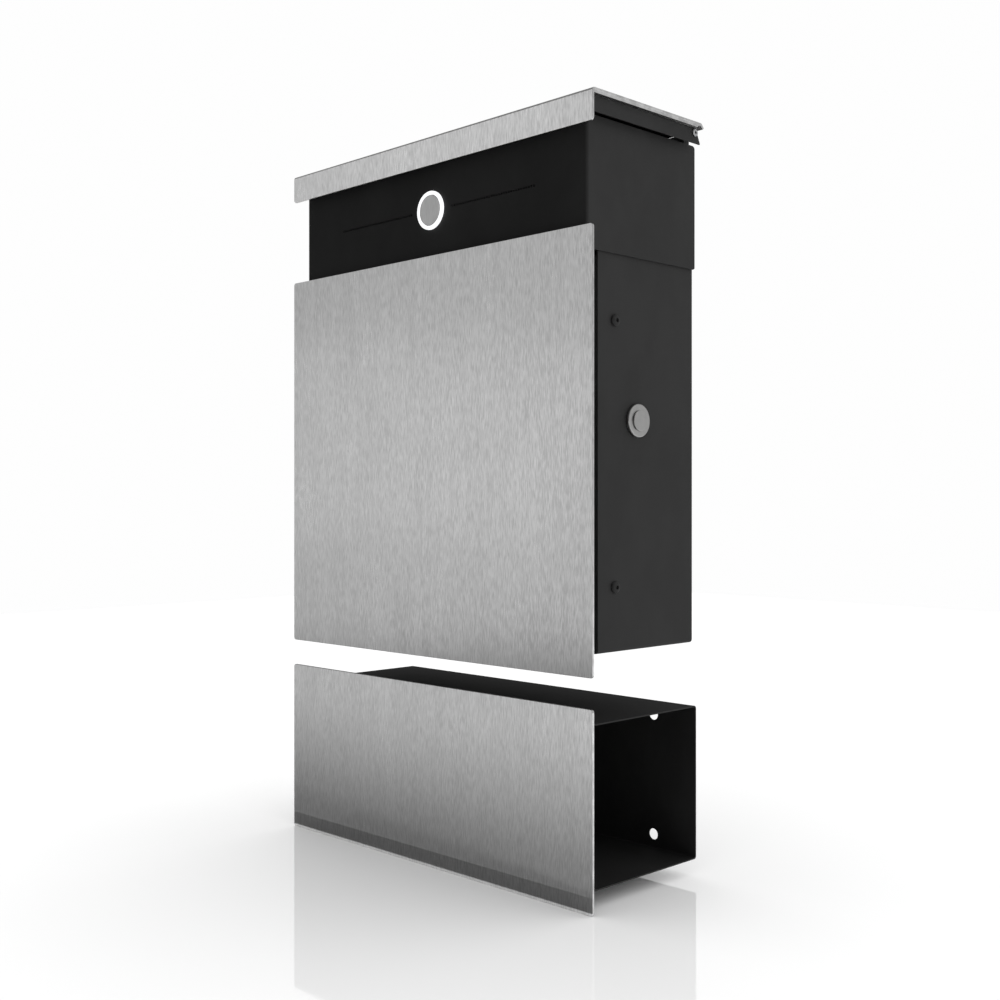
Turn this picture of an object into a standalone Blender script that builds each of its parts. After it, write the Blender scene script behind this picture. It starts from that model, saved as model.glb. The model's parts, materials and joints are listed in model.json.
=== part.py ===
"""Wall mounted mailbox with a newspaper sleeve, as separate pieces.

Metres, +Z up. The wall is the plane Y = 0 and the boxes stand in front of it, towards -Y.
The origin is the middle of the mailbox's back face. +X is to the right of someone who
faces the mailbox. Five things move: the lid, the door, the lock's plug with its cam, the
lock's dust cover and the bell push. Their pieces hang on empties on the joints' axes.
"""

import math

import bmesh
import bpy
from mathutils import Matrix, Vector

# Driving dimensions
PANEL_WIDTH = 0.380  # lid, door panel and newspaper panel
DEPTH = 0.1425  # from the wall to the front faces of the stainless panels
PANEL_SHEET = 0.002
BODY_HEIGHT = 0.4126
CASING_WIDTH = 0.352
HOOD_WIDTH = 0.3558  # the hood laps outside the casing by one sheet
STEEL_SHEET = 0.0015
THIN_SHEET = 0.0012
FIT = 0.0003  # gap between pieces that touch
BEND = 0.0025  # outer radius of a folded edge

DOOR_HEIGHT = 0.341
DOOR_TOP = 0.1196
LID_LIP = 0.025
LID_TOP = 0.2216
NEWS_GAP = 0.0234  # between the door panel and the newspaper panel
NEWS_PANEL_HEIGHT = 0.155

SIDES = {"left": -1, "right": 1}

# Planes worked out from them
HALF_PANEL = PANEL_WIDTH / 2
HALF_CASING = CASING_WIDTH / 2
HALF_HOOD = HOOD_WIDTH / 2
PANEL_FRONT = -DEPTH
PANEL_BACK = PANEL_FRONT + PANEL_SHEET
BODY_TOP = BODY_HEIGHT / 2
BODY_BOTTOM = -BODY_HEIGHT / 2
DOOR_BOTTOM = DOOR_TOP - DOOR_HEIGHT

CASING_FRONT = -0.1204
CASING_SIDE_TOP = 0.200
UPSTAND_TOP = 0.218  # the back wall rises behind the lid
UPSTAND_HALF = 0.171
HOOD_FRONT = -0.135
HOOD_BOTTOM = 0.1036

WALL_HOLE_RADIUS = 0.00475
WALL_HOLE_X = 0.1348
WALL_HOLE_Z = 0.150

# Lid
LID_PIVOT_Y = -0.0116
LID_PIVOT_Z = 0.2137
CHEEK_HALF = 0.186
CHEEK_BOTTOM = 0.2052
LID_EAR_RADIUS = 0.0033
LID_PIN_RADIUS = 0.0016
LID_UNDERSIDE = LID_TOP - PANEL_SHEET - FIT - THIN_SHEET

# Door
DOOR_PIVOT_X = -0.176
DOOR_PIVOT_Y = -0.134
HINGE_HEIGHTS = {"upper": 0.060, "lower": -0.165}
HINGE_HALF_HEIGHT = 0.014
EYE_RADIUS = 0.0032
EAR_SHEET = 0.002
HINGE_PIN_RADIUS = 0.0015
RIVET_X = -0.1685
RIVET_ROWS = {"top": 0.009, "bottom": -0.009}
LINER_LEFT = -0.1615
LINER_RIGHT = 0.168
LINER_FRONT = -0.1393
LINER_BACK = -0.1220
LINER_TOP = 0.0995
LINER_BOTTOM = -0.2005
HOOK_SHEET = 0.002
HOOK_HEIGHT = 0.023
HOOK_ABOVE_LOCK = 0.0277

# Rails inside the casing's front edges, and the screws that hold them
RAIL_DEPTH = 0.0324
RAIL_LEG_INNER = 0.1625
SCREW_Y = -0.1005
SCREW_HEIGHTS = {"upper": 0.0518, "lower": -0.1558}

# Lock in the right wall
LOCK_Y = -0.0735
LOCK_Z = -0.025
LOCK_HEAD_RADIUS = 0.0133
LOCK_BORE = 0.0052
LOCK_PLUG_RADIUS = 0.0048
LOCK_COVER_RADIUS = 0.00825
COVER_PIVOT_UP = 0.0069  # above the lock's centre
CAM_LENGTH = 0.038
CAM_LEFT = 0.1484
CAM_SHEET = 0.0025

# Bell push in the hood's front
BELL_Z = 0.1603
BELL_RING_RADIUS = 0.0165
BELL_CAP_RADIUS = 0.01315
BELL_BARREL_RADIUS = 0.0149
BELL_TRAVEL = 0.0015
SOUND_HOLE_RADIUS = 0.0011
SOUND_ROW_START = 0.0253
SOUND_ROW_END = 0.123
SOUND_HOLES = 35  # in each row

# Rubber buffers under the lid, and the bell cable's hole in the back wall
LID_BUFFER_X = 0.150
LID_BUFFER_Y = -0.128
CABLE_X = 0.070
CABLE_Z = 0.175

# Newspaper sleeve
SLEEVE_HALF = 0.1792
SLEEVE_HEIGHT = 0.1274
NEWS_PANEL_TOP = DOOR_BOTTOM - NEWS_GAP
SLEEVE_Z = NEWS_PANEL_TOP - NEWS_PANEL_HEIGHT / 2
SLEEVE_FRONT = LINER_FRONT
SLEEVE_HOLE_INSET = 0.0125

FINISHES = {
    # colour, roughness, metallic
    "brushed_stainless": ((0.42, 0.42, 0.42), 0.38, 1.0),
    "black_powder_coat": ((0.022, 0.022, 0.022), 0.55, 0.0),
    "zinc": ((0.50, 0.50, 0.52), 0.40, 1.0),
    "lock_nickel": ((0.40, 0.40, 0.39), 0.35, 1.0),
    "luminous_ring": ((0.95, 0.95, 0.95), 0.30, 0.0),
    "black_rubber": ((0.02, 0.02, 0.02), 0.80, 0.0),
    "grey_nylon": ((0.30, 0.30, 0.30), 0.50, 0.0),
    "bond_tape": ((0.10, 0.10, 0.10), 0.70, 0.0),
}


# ---------------------------------------------------------------- scene and placing


def clear_scene():
    for obj in list(bpy.data.objects):
        bpy.data.objects.remove(obj, do_unlink=True)


def new_collection(name):
    collection = bpy.data.collections.new(name)
    bpy.context.scene.collection.children.link(collection)
    return collection


def finish_material(finish):
    """The material of a finish, made the first time it is asked for."""
    if finish in bpy.data.materials:
        return bpy.data.materials[finish]
    colour, roughness, metallic = FINISHES[finish]
    material = bpy.data.materials.new(finish)
    material.use_nodes = True
    shader = material.node_tree.nodes["Principled BSDF"]
    shader.inputs["Base Color"].default_value = (*colour, 1.0)
    shader.inputs["Roughness"].default_value = roughness
    shader.inputs["Metallic"].default_value = metallic
    return material


def place(name, mesh, finish, location=(0, 0, 0), direction=None):
    """An object of this mesh. With a direction, its local +Z turns to point that way."""
    obj = bpy.data.objects.new(name, mesh)
    obj.location = location
    if direction is not None:
        obj.rotation_euler = Vector(direction).to_track_quat("Z", "Y").to_euler()
    mesh.materials.append(finish_material(finish))
    parts.objects.link(obj)
    return obj


def pivot(name, location):
    """An empty on a joint's axis."""
    empty = bpy.data.objects.new(name, None)
    empty.location = location
    empty.empty_display_size = 0.02
    parts.objects.link(empty)
    return empty


def hang(empty, *pieces):
    """Parents the pieces to the empty and leaves them where they are."""
    for piece in pieces:
        piece.parent = empty
        piece.matrix_parent_inverse = Matrix.Translation(-empty.location)


# ---------------------------------------------------------------- shapes


def mesh_of(name, bm):
    mesh = bpy.data.meshes.new(name)
    bm.to_mesh(mesh)
    bm.free()
    return mesh


def cube_between(low, high):
    """A bmesh box with these opposite corners, centred on the origin, and its centre."""
    size = Vector(high) - Vector(low)
    bm = bmesh.new()
    bmesh.ops.create_cube(bm, size=1.0)
    bmesh.ops.scale(bm, vec=size, verts=bm.verts)
    return bm, (Vector(low) + Vector(high)) / 2


def block(name, low, high, finish="black_powder_coat"):
    bm, centre = cube_between(low, high)
    return place(name, mesh_of(name, bm), finish, centre)


def rounded_panel(name, low, high, radius, finish="brushed_stainless"):
    """A flat sheet that faces -Y, with its four corners rounded."""
    bm, centre = cube_between(low, high)
    corners = [e for e in bm.edges if abs((e.verts[0].co - e.verts[1].co).normalized().y) > 0.9]
    bmesh.ops.bevel(bm, geom=corners, offset=radius, segments=4, profile=0.5, affect="EDGES")
    return place(name, mesh_of(name, bm), finish, centre)


def shell(name, low, high, open_sides, sheet, bend=BEND, finish="black_powder_coat"):
    """A folded box: the open sides are left out, the folds rounded and the sheet turned inwards."""
    bm, centre = cube_between(low, high)
    gone = [f for f in bm.faces if any(f.normal.dot(Vector(side)) > 0.9 for side in open_sides)]
    bmesh.ops.delete(bm, geom=gone, context="FACES")
    folds = [e for e in bm.edges if len(e.link_faces) == 2]
    bmesh.ops.bevel(bm, geom=folds, offset=bend, segments=3, profile=0.5, affect="EDGES")
    obj = place(name, mesh_of(name, bm), finish, centre)
    thicken(obj, sheet)
    return obj


def thicken(obj, sheet):
    solid = obj.modifiers.new("sheet", "SOLIDIFY")
    solid.thickness = sheet
    solid.offset = -1.0
    solid.use_even_offset = True


def folded_strip(name, path, run, axis, sheet, bend, finish, round_ends=0.0):
    """A strip folded along a flat path and extruded from run[0] to run[1] along an axis.

    The path is in (Y, Z) for axis X and in (X, Y) for axis Z. Its left side is the outer
    face, and the sheet's thickness goes to the right. round_ends rounds the two corners
    at the path's start.
    """

    def point(u, v, w):
        return (w, u, v) if axis == "X" else (u, v, w)

    bm = bmesh.new()
    rows = [[bm.verts.new(point(u, v, w)) for w in run] for u, v in path]
    for this, after in zip(rows, rows[1:]):
        bm.faces.new((this[0], this[1], after[1], after[0]))
    if round_ends:
        bmesh.ops.bevel(
            bm, geom=rows[0], offset=round_ends, segments=3, profile=0.5, affect="VERTICES"
        )
    for edge in [e for e in bm.edges if len(e.link_faces) == 2]:
        reach = bend * math.tan(edge.calc_face_angle() / 2)
        bmesh.ops.bevel(bm, geom=[edge], offset=reach, segments=3, profile=0.5, affect="EDGES")
    obj = place(name, mesh_of(name, bm), finish)
    thicken(obj, sheet)
    return obj


def rod(name, radius, start, end, finish="black_powder_coat", segments=16):
    """A cylinder from one point to another."""
    start, end = Vector(start), Vector(end)
    bm = bmesh.new()
    bmesh.ops.create_cone(
        bm,
        cap_ends=True,
        segments=segments,
        radius1=radius,
        radius2=radius,
        depth=(end - start).length,
    )
    mesh = mesh_of(name, bm)
    mesh.shade_smooth()
    mesh.set_sharp_from_angle(angle=math.radians(40))
    return place(name, mesh, finish, (start + end) / 2, end - start)


def turned(name, profile, foot, direction, finish, segments=24, ring=False):
    """A turned piece. The profile is (radius, height) from the top down its outer side.

    Heights run along the direction from the foot. A ring's profile is a closed loop that
    keeps clear of the axis.
    """
    mesh = bpy.data.meshes.new(name)
    count = len(profile)
    edges = [(i, (i + 1) % count) for i in range(count if ring else count - 1)]
    mesh.from_pydata([(radius, 0.0, height) for radius, height in profile], edges, [])
    obj = place(name, mesh, finish, foot, direction)
    screw = obj.modifiers.new("turn", "SCREW")
    screw.axis = "Z"
    screw.angle = 2 * math.pi
    screw.steps = screw.render_steps = segments
    screw.use_merge_vertices = True
    screw.merge_threshold = 0.00001
    screw.use_smooth_shade = True
    return obj


def washer(name, inner, outer, foot, direction, thickness, finish, segments=24):
    profile = [(inner, thickness), (outer, thickness), (outer, 0.0), (inner, 0.0)]
    return turned(name, profile, foot, direction, finish, segments, ring=True)


def flat_plate(name, outline, thickness, location, finish):
    """A flat piece cut to an outline in XY, extruded both ways from its middle."""
    curve = bpy.data.curves.new(name, "CURVE")
    curve.dimensions = "2D"
    curve.fill_mode = "BOTH"
    curve.extrude = thickness / 2
    spline = curve.splines.new("POLY")
    spline.points.add(len(outline) - 1)
    for point, (u, v) in zip(spline.points, outline):
        point.co = (u, v, 0.0, 1.0)
    spline.use_cyclic_u = True
    guide = bpy.data.objects.new(name + "_outline", curve)
    parts.objects.link(guide)
    bpy.context.view_layer.update()
    graph = bpy.context.evaluated_depsgraph_get()
    mesh = bpy.data.meshes.new_from_object(guide.evaluated_get(graph))
    bpy.data.objects.remove(guide, do_unlink=True)
    bm = bmesh.new()
    bm.from_mesh(mesh)
    bmesh.ops.remove_doubles(bm, verts=bm.verts, dist=0.00001)
    bmesh.ops.recalc_face_normals(bm, faces=bm.faces)
    bm.to_mesh(mesh)
    bm.free()
    mesh.materials.clear()
    return place(name, mesh, finish, location)


def arc(centre, radius, start, end, steps):
    """Points on an arc, with its angles in degrees."""
    angles = [math.radians(start + (end - start) * i / steps) for i in range(steps + 1)]
    return [(centre[0] + radius * math.cos(a), centre[1] + radius * math.sin(a)) for a in angles]


# ---------------------------------------------------------------- cutting and joining


def use_tool(target, tool, operation):
    """A Boolean on the target. The tool is kept as a hidden helper."""
    tool.hide_render = True
    tool.display_type = "WIRE"
    parts.objects.unlink(tool)
    helpers.objects.link(tool)
    boolean = target.modifiers.new(tool.name, "BOOLEAN")
    boolean.operation = operation
    boolean.object = tool


def cut(target, tool):
    use_tool(target, tool, "DIFFERENCE")


def join(target, tool):
    use_tool(target, tool, "UNION")


def drill(target, radius, start, end, segments=16):
    """A round hole from one point to another."""
    number = len(target.modifiers)
    cut(target, rod(f"{target.name}_hole_{number}", radius, start, end, segments=segments))


def hexagon(name, flats, start, end, finish="zinc"):
    """A hexagonal bar, given by its width across the flats."""
    return rod(name, flats / math.sqrt(3), start, end, finish, segments=6)


# ---------------------------------------------------------------- casing


def make_casing():
    """Back wall, side walls and floor in one folded sheet, with the back wall's upstand."""
    casing = shell(
        "body_casing",
        (-HALF_CASING, CASING_FRONT, BODY_BOTTOM),
        (HALF_CASING, 0.0, UPSTAND_TOP),
        [(0, -1, 0), (0, 0, 1)],
        STEEL_SHEET,
    )
    for side, sign in SIDES.items():
        corner = sorted((sign * UPSTAND_HALF, sign * (HALF_CASING + 0.01)))
        low = (corner[0], CASING_FRONT - 0.01, CASING_SIDE_TOP)
        high = (corner[1], 0.01, UPSTAND_TOP + 0.01)
        cut(casing, block(f"casing_corner_{side}", low, high))
        for level in (WALL_HOLE_Z, -WALL_HOLE_Z):
            x = sign * WALL_HOLE_X
            drill(casing, WALL_HOLE_RADIUS, (x, -0.01, level), (x, 0.01, level))
        for level in SCREW_HEIGHTS.values():
            inside = (sign * (HALF_CASING - 0.01), SCREW_Y, level)
            drill(casing, 0.0029, inside, (sign * (HALF_CASING + 0.01), SCREW_Y, level))
        drain = Vector((sign * 0.12, CASING_FRONT / 2, BODY_BOTTOM))
        drill(casing, 0.003, drain - Vector((0, 0, 0.01)), drain + Vector((0, 0, 0.01)), 8)
    lock_hole = Vector((HALF_CASING, LOCK_Y, LOCK_Z))
    drill(casing, 0.0099, lock_hole - Vector((0.01, 0, 0)), lock_hole + Vector((0.01, 0, 0)), 24)
    cable_hole = Vector((CABLE_X, 0, CABLE_Z))
    drill(casing, 0.0062, cable_hole - Vector((0, 0.01, 0)), cable_hole + Vector((0, 0.01, 0)))


def make_rail(side, sign):
    """An angle inside the casing's front edge: one leg on the wall, one behind the door."""
    wall_leg = HALF_CASING - STEEL_SHEET - FIT
    path = [
        (sign * wall_leg, CASING_FRONT + RAIL_DEPTH),
        (sign * wall_leg, CASING_FRONT),
        (sign * RAIL_LEG_INNER, CASING_FRONT),
    ]
    if sign < 0:
        path.reverse()
    run = (BODY_BOTTOM + STEEL_SHEET + 2 * FIT, HOOD_BOTTOM - 0.003)
    rail = folded_strip(f"{side}_rail", path, run, "Z", STEEL_SHEET, 0.002, "black_powder_coat")
    for level in SCREW_HEIGHTS.values():
        outside = (sign * (wall_leg + 0.005), SCREW_Y, level)
        drill(rail, 0.0029, (sign * (wall_leg - 0.005), SCREW_Y, level), outside)
    return rail


def button_screw_profile(radius, rise, shank, length):
    """A domed head over a shank, from the top of the head down."""
    flat = radius * 0.45
    dome = [
        (flat + (radius - flat) * math.sin(a), rise * (0.2 + 0.8 * math.cos(a)))
        for a in (math.radians(90 * i / 4) for i in range(5))
    ]
    return [(0.0, rise), *dome, (radius, 0.0), (shank, 0.0), (shank, -length), (0.0, -length)]


def make_side_screws():
    """The four button-head screws that hold the rails, and their nuts."""
    head_rise = 0.0027
    for side, sign in SIDES.items():
        for height, level in SCREW_HEIGHTS.items():
            foot = Vector((sign * (HALF_CASING + FIT), SCREW_Y, level))
            out = Vector((sign, 0, 0))
            screw = turned(
                f"side_screw_{side}_{height}",
                button_screw_profile(0.00475, head_rise, 0.0024, 0.0095),
                foot,
                out,
                "black_powder_coat",
                segments=16,
            )
            socket = foot + out * (head_rise - 0.0016)
            cut(screw, hexagon(f"socket_{side}_{height}", 0.003, socket, foot + out * 0.005))
            nut_face = foot - out * (2 * STEEL_SHEET + 3 * FIT)
            nut = hexagon(f"side_nut_{side}_{height}", 0.008, nut_face - out * 0.004, nut_face)
            drill(nut, 0.0028, nut_face - out * 0.01, nut_face + out * 0.01)


def make_grommet():
    """A rubber bush in the cable hole, with its flange inside the box."""
    profile = [
        (0.0032, 0.0042),
        (0.0090, 0.0042),
        (0.0090, 0.0018),
        (0.0058, 0.0018),
        (0.0058, 0.0004),
        (0.0032, 0.0004),
    ]
    foot = (CABLE_X, 0, CABLE_Z)
    turned("cable_grommet", profile, foot, (0, -1, 0), "black_rubber", 16, ring=True)


# ---------------------------------------------------------------- hood


def sound_rows():
    """All the small holes of both rows, as one cutting tool."""
    pitch = (SOUND_ROW_END - SOUND_ROW_START - 2 * SOUND_HOLE_RADIUS) / (SOUND_HOLES - 1)
    turn = Matrix.Rotation(math.radians(90), 4, "X")
    bm = bmesh.new()
    for sign in SIDES.values():
        for i in range(SOUND_HOLES):
            x = sign * (SOUND_ROW_START + SOUND_HOLE_RADIUS + i * pitch)
            bmesh.ops.create_cone(
                bm,
                cap_ends=True,
                segments=8,
                radius1=SOUND_HOLE_RADIUS,
                radius2=SOUND_HOLE_RADIUS,
                depth=0.01,
                matrix=Matrix.Translation((x, 0, 0)) @ turn,
            )
    middle = (0, HOOD_FRONT, BELL_Z)
    return place("sound_rows", mesh_of("sound_rows", bm), "black_powder_coat", middle)


def make_hood():
    """Front and sides of the letter mouth, with return flanges and the ears of the lid's hinge."""
    hood = shell(
        "hood_shell",
        (-HALF_HOOD, HOOD_FRONT, HOOD_BOTTOM),
        (HALF_HOOD, -FIT, BODY_TOP - 0.0001),
        [(0, 0, 1), (0, 0, -1), (0, 1, 0)],
        STEEL_SHEET,
    )
    inside = HALF_HOOD - STEEL_SHEET / 2
    flanges = {"top": BODY_TOP - 0.0018, "bottom": HOOD_BOTTOM + 0.0002}
    for end, level in flanges.items():
        back = HOOD_FRONT + (0.014 if end == "top" else 0.0104)
        low = (-inside, HOOD_FRONT + STEEL_SHEET / 3, level)
        high = (inside, back, level + STEEL_SHEET)
        join(hood, block(f"hood_{end}_flange", low, high))
    for side, sign in SIDES.items():
        wall = sorted((sign * HALF_HOOD, sign * (HALF_HOOD - STEEL_SHEET)))
        low = (wall[0], LID_PIVOT_Y - LID_EAR_RADIUS, BODY_TOP - 0.005)
        high = (wall[1], LID_PIVOT_Y + LID_EAR_RADIUS, LID_PIVOT_Z)
        join(hood, block(f"ear_neck_{side}", low, high))
        inner, outer = (Vector((x, LID_PIVOT_Y, LID_PIVOT_Z)) for x in wall)
        join(hood, rod(f"ear_round_{side}", LID_EAR_RADIUS, inner, outer))
        past = Vector((0.01, 0, 0))
        drill(hood, LID_PIN_RADIUS + FIT, inner - past, outer + past)
        buffer_hole = Vector((sign * LID_BUFFER_X, LID_BUFFER_Y, BODY_TOP))
        up = Vector((0, 0, 0.005))
        drill(hood, 0.0023, buffer_hole - up, buffer_hole + up, 12)
    bell_hole = Vector((0, HOOD_FRONT, BELL_Z))
    through = Vector((0, 0.01, 0))
    drill(hood, BELL_BARREL_RADIUS + FIT, bell_hole - through, bell_hole + through, 32)
    cut(hood, sound_rows())


def make_lid_buffers():
    """Rubber buffers on the hood's top flange, on which the lid rests."""
    base = BODY_TOP - FIT / 3
    rise = LID_UNDERSIDE - FIT - base
    profile = [
        (0.0, rise),
        (0.0030, rise),
        (0.0045, rise - 0.0015),
        (0.0045, 0.0003),
        (0.0019, 0.0003),
        (0.0019, -0.0035),
        (0.0, -0.0035),
    ]
    for side, sign in SIDES.items():
        foot = (sign * LID_BUFFER_X, LID_BUFFER_Y, base)
        turned(f"lid_buffer_{side}", profile, foot, (0, 0, 1), "black_rubber", 12)


# ---------------------------------------------------------------- lid


def make_lid():
    """The stainless cover bonded to a black carrier, which turns on two hollow pins."""
    path = [
        (PANEL_FRONT, LID_TOP - LID_LIP),
        (PANEL_FRONT, LID_TOP),
        (-0.0071, LID_TOP),
        (-0.0039, LID_TOP - 0.0036),
    ]
    cover = folded_strip(
        "lid_cover", path, (-HALF_PANEL, HALF_PANEL), "X", PANEL_SHEET, BEND, "brushed_stainless", 0.003
    )
    carrier = shell(
        "lid_carrier",
        (-CHEEK_HALF, PANEL_BACK + FIT, CHEEK_BOTTOM),
        (CHEEK_HALF, -0.0025, LID_TOP - PANEL_SHEET - FIT),
        [(0, -1, 0), (0, 1, 0), (0, 0, -1)],
        THIN_SHEET,
        bend=0.002,
    )
    slope = block("carrier_rear_slope", (-0.2, 0.0, -0.03), (0.2, 0.03, 0.03))
    slope.rotation_euler.x = math.atan2(0.0066, 0.0134)
    middle = Vector((0, -0.0072, 0.2126))
    slope.location = middle + slope.rotation_euler.to_matrix() @ Vector((0, 0.015, 0))
    cut(carrier, slope)
    pieces = [cover, carrier]
    for side, sign in SIDES.items():
        x = sign * CHEEK_HALF
        axis_out = Vector((sign, 0, 0))
        hole = Vector((x, LID_PIVOT_Y, LID_PIVOT_Z))
        drill(carrier, LID_PIN_RADIUS + FIT, hole - axis_out * 0.01, hole + axis_out * 0.01)
        flare = CHEEK_HALF - HALF_HOOD + STEEL_SHEET + 0.0005  # inner flare, behind the hood's ear
        profile = [
            (0.0011, 0.0015),
            (0.0025, 0.0015),
            (0.0031, 0.0010),
            (0.0031, FIT),
            (LID_PIN_RADIUS, FIT),
            (LID_PIN_RADIUS, -flare),
            (0.0026, -flare),
            (0.0026, -flare - 0.0015),
            (0.0011, -flare - 0.0015),
        ]
        pin = turned(f"lid_pin_{side}", profile, hole, axis_out, "zinc", 16, ring=True)
        gap = CHEEK_HALF - THIN_SHEET - HALF_HOOD - 2 * FIT
        foot = (sign * (HALF_HOOD + FIT), LID_PIVOT_Y, LID_PIVOT_Z)
        spacer = washer(
            f"lid_spacer_{side}", LID_PIN_RADIUS + FIT, 0.0031, foot, axis_out, gap, "grey_nylon", 16
        )
        pieces += [pin, spacer]
    hang(pivot("lid_pivot", Vector((0, LID_PIVOT_Y, LID_PIVOT_Z))), *pieces)


# ---------------------------------------------------------------- door


def make_tapes(owner, half_width, centre_x, levels):
    """Strips of bonding tape between a stainless panel and the sheet behind it."""
    return [
        block(
            f"{owner}_tape_{name}",
            (centre_x - half_width, PANEL_BACK + FIT, level - 0.0075),
            (centre_x + half_width, LINER_FRONT - FIT, level + 0.0075),
            "bond_tape",
        )
        for name, level in levels.items()
    ]


def make_hinge_bracket(height, level):
    """The fixed half of a door hinge: a plate on the rail and an ear that holds the pin."""
    plate_low = (DOOR_PIVOT_X, CASING_FRONT - FIT - EAR_SHEET, level - HINGE_HALF_HEIGHT)
    plate_high = (-RAIL_LEG_INNER - 0.0007, CASING_FRONT - FIT, level + HINGE_HALF_HEIGHT)
    bracket = block(f"hinge_bracket_{height}", plate_low, plate_high, "zinc")
    ear_low = (DOOR_PIVOT_X - EYE_RADIUS, DOOR_PIVOT_Y, level - EAR_SHEET / 2)
    ear_high = (DOOR_PIVOT_X + EYE_RADIUS, plate_high[1] - 0.001, level + EAR_SHEET / 2)
    join(bracket, block(f"bracket_arm_{height}", ear_low, ear_high))
    eye = Vector((DOOR_PIVOT_X, DOOR_PIVOT_Y, level))
    up = Vector((0, 0, 1))
    half_ear = up * EAR_SHEET / 2
    join(bracket, rod(f"bracket_eye_{height}", EYE_RADIUS, eye - half_ear, eye + half_ear))
    drill(bracket, HINGE_PIN_RADIUS + FIT, eye - up * 0.01, eye + up * 0.01)
    back = Vector((0, 0.01, 0))
    for row, offset in RIVET_ROWS.items():
        middle = Vector((RIVET_X, CASING_FRONT, level + offset))
        for sheet in (bracket, bpy.data.objects["left_rail"]):
            drill(sheet, 0.0021, middle - back, middle + back, 12)
        make_rivet(f"hinge_rivet_{height}_{row}", middle - Vector((0, EAR_SHEET + 2 * FIT, 0)))


def make_rivet(name, seat):
    """A blind rivet that faces -Y, with its set tail behind the rail's leg."""
    profile = [
        (0.0, 0.0013),
        (0.0018, 0.0012),
        (0.0031, FIT + 0.0001),
        (0.0031, 0.0),
        (0.0017, 0.0),
        (0.0017, -0.0047),
        (0.0025, -0.0047),
        (0.0022, -0.0062),
        (0.0, -0.0062),
    ]
    turned(name, profile, seat - Vector((0, FIT, 0)), (0, -1, 0), "zinc", 12)


def make_hinge_leaf(height, level):
    """The moving half of a door hinge: a plate on the liner's rim and an ear above the bracket's."""
    rim = LINER_LEFT - FIT
    leaf = block(
        f"hinge_leaf_{height}",
        (rim - EAR_SHEET, LINER_FRONT + 0.0011, level - HINGE_HALF_HEIGHT),
        (rim, LINER_BACK - 0.0014, level + HINGE_HALF_HEIGHT),
        "zinc",
    )
    bottom = level + EAR_SHEET / 2 + 0.0004
    top = bottom + EAR_SHEET
    arm_low = (DOOR_PIVOT_X, DOOR_PIVOT_Y - EYE_RADIUS, bottom)
    arm_high = (rim - EAR_SHEET / 2, DOOR_PIVOT_Y + EYE_RADIUS, top)
    join(leaf, block(f"leaf_arm_{height}", arm_low, arm_high))
    low, high = (DOOR_PIVOT_X, DOOR_PIVOT_Y, bottom), (DOOR_PIVOT_X, DOOR_PIVOT_Y, top)
    join(leaf, rod(f"leaf_eye_{height}", EYE_RADIUS, low, high))
    through = Vector((0, 0, 0.01))
    drill(leaf, HINGE_PIN_RADIUS + FIT, Vector(low) - through, Vector(high) + through)
    return leaf


def make_hinge_pin(height, level):
    """A headed pin through both ears."""
    top = level + EAR_SHEET * 1.5 + 0.0004 + FIT
    profile = [
        (0.0, 0.0014),
        (0.0022, 0.0014),
        (0.0028, 0.0008),
        (0.0028, 0.0),
        (HINGE_PIN_RADIUS, 0.0),
        (HINGE_PIN_RADIUS, -0.0065),
        (0.0, -0.0065),
    ]
    foot = (DOOR_PIVOT_X, DOOR_PIVOT_Y, top)
    turned(f"hinge_pin_{height}", profile, foot, (0, 0, 1), "zinc", 16)


def make_strike_hook():
    """A bent strap on the back of the door. Its lip sits behind the lock's cam."""
    reach = -0.0625
    foot = LINER_FRONT + THIN_SHEET + FIT
    arm = 0.1465
    outline = [
        (0.125, foot),
        (arm, foot),
        (arm, reach - HOOK_SHEET),
        (0.152, reach - HOOK_SHEET),
        (0.152, reach),
        (arm - HOOK_SHEET, reach),
        (arm - HOOK_SHEET, foot + HOOK_SHEET),
        (0.125, foot + HOOK_SHEET),
    ]
    middle = (0, 0, LOCK_Z + HOOK_ABOVE_LOCK)
    return flat_plate("strike_hook", outline, HOOK_HEIGHT, middle, "zinc")


def make_door():
    """The stainless panel, its black liner, the hinge halves and the strike hook."""
    panel = rounded_panel(
        "door_panel",
        (-HALF_PANEL, PANEL_FRONT, DOOR_BOTTOM),
        (HALF_PANEL, PANEL_BACK, DOOR_TOP),
        BEND,
    )
    liner = shell(
        "door_liner",
        (LINER_LEFT, LINER_FRONT, LINER_BOTTOM),
        (LINER_RIGHT, LINER_BACK, LINER_TOP),
        [(0, 1, 0)],
        THIN_SHEET,
        bend=0.002,
    )
    middle_x = (LINER_LEFT + LINER_RIGHT) / 2
    levels = {"upper": 0.080, "middle": -0.050, "lower": -0.180}
    pieces = [panel, liner, make_strike_hook(), *make_tapes("door", 0.155, middle_x, levels)]
    for height, level in HINGE_HEIGHTS.items():
        make_hinge_bracket(height, level)
        make_hinge_pin(height, level)
        pieces.append(make_hinge_leaf(height, level))
    hang(pivot("door_pivot", Vector((DOOR_PIVOT_X, DOOR_PIVOT_Y, 0))), *pieces)


def make_door_buffers():
    """Rubber discs on the right rail, where the liner's rim lands."""
    for height, level in SCREW_HEIGHTS.items():
        seat = Vector((LINER_RIGHT - THIN_SHEET / 2, CASING_FRONT - FIT, level))
        rod(f"door_buffer_{height}", 0.004, seat, seat - Vector((0, 0.001, 0)), "black_rubber", 12)


# ---------------------------------------------------------------- lock


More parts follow.
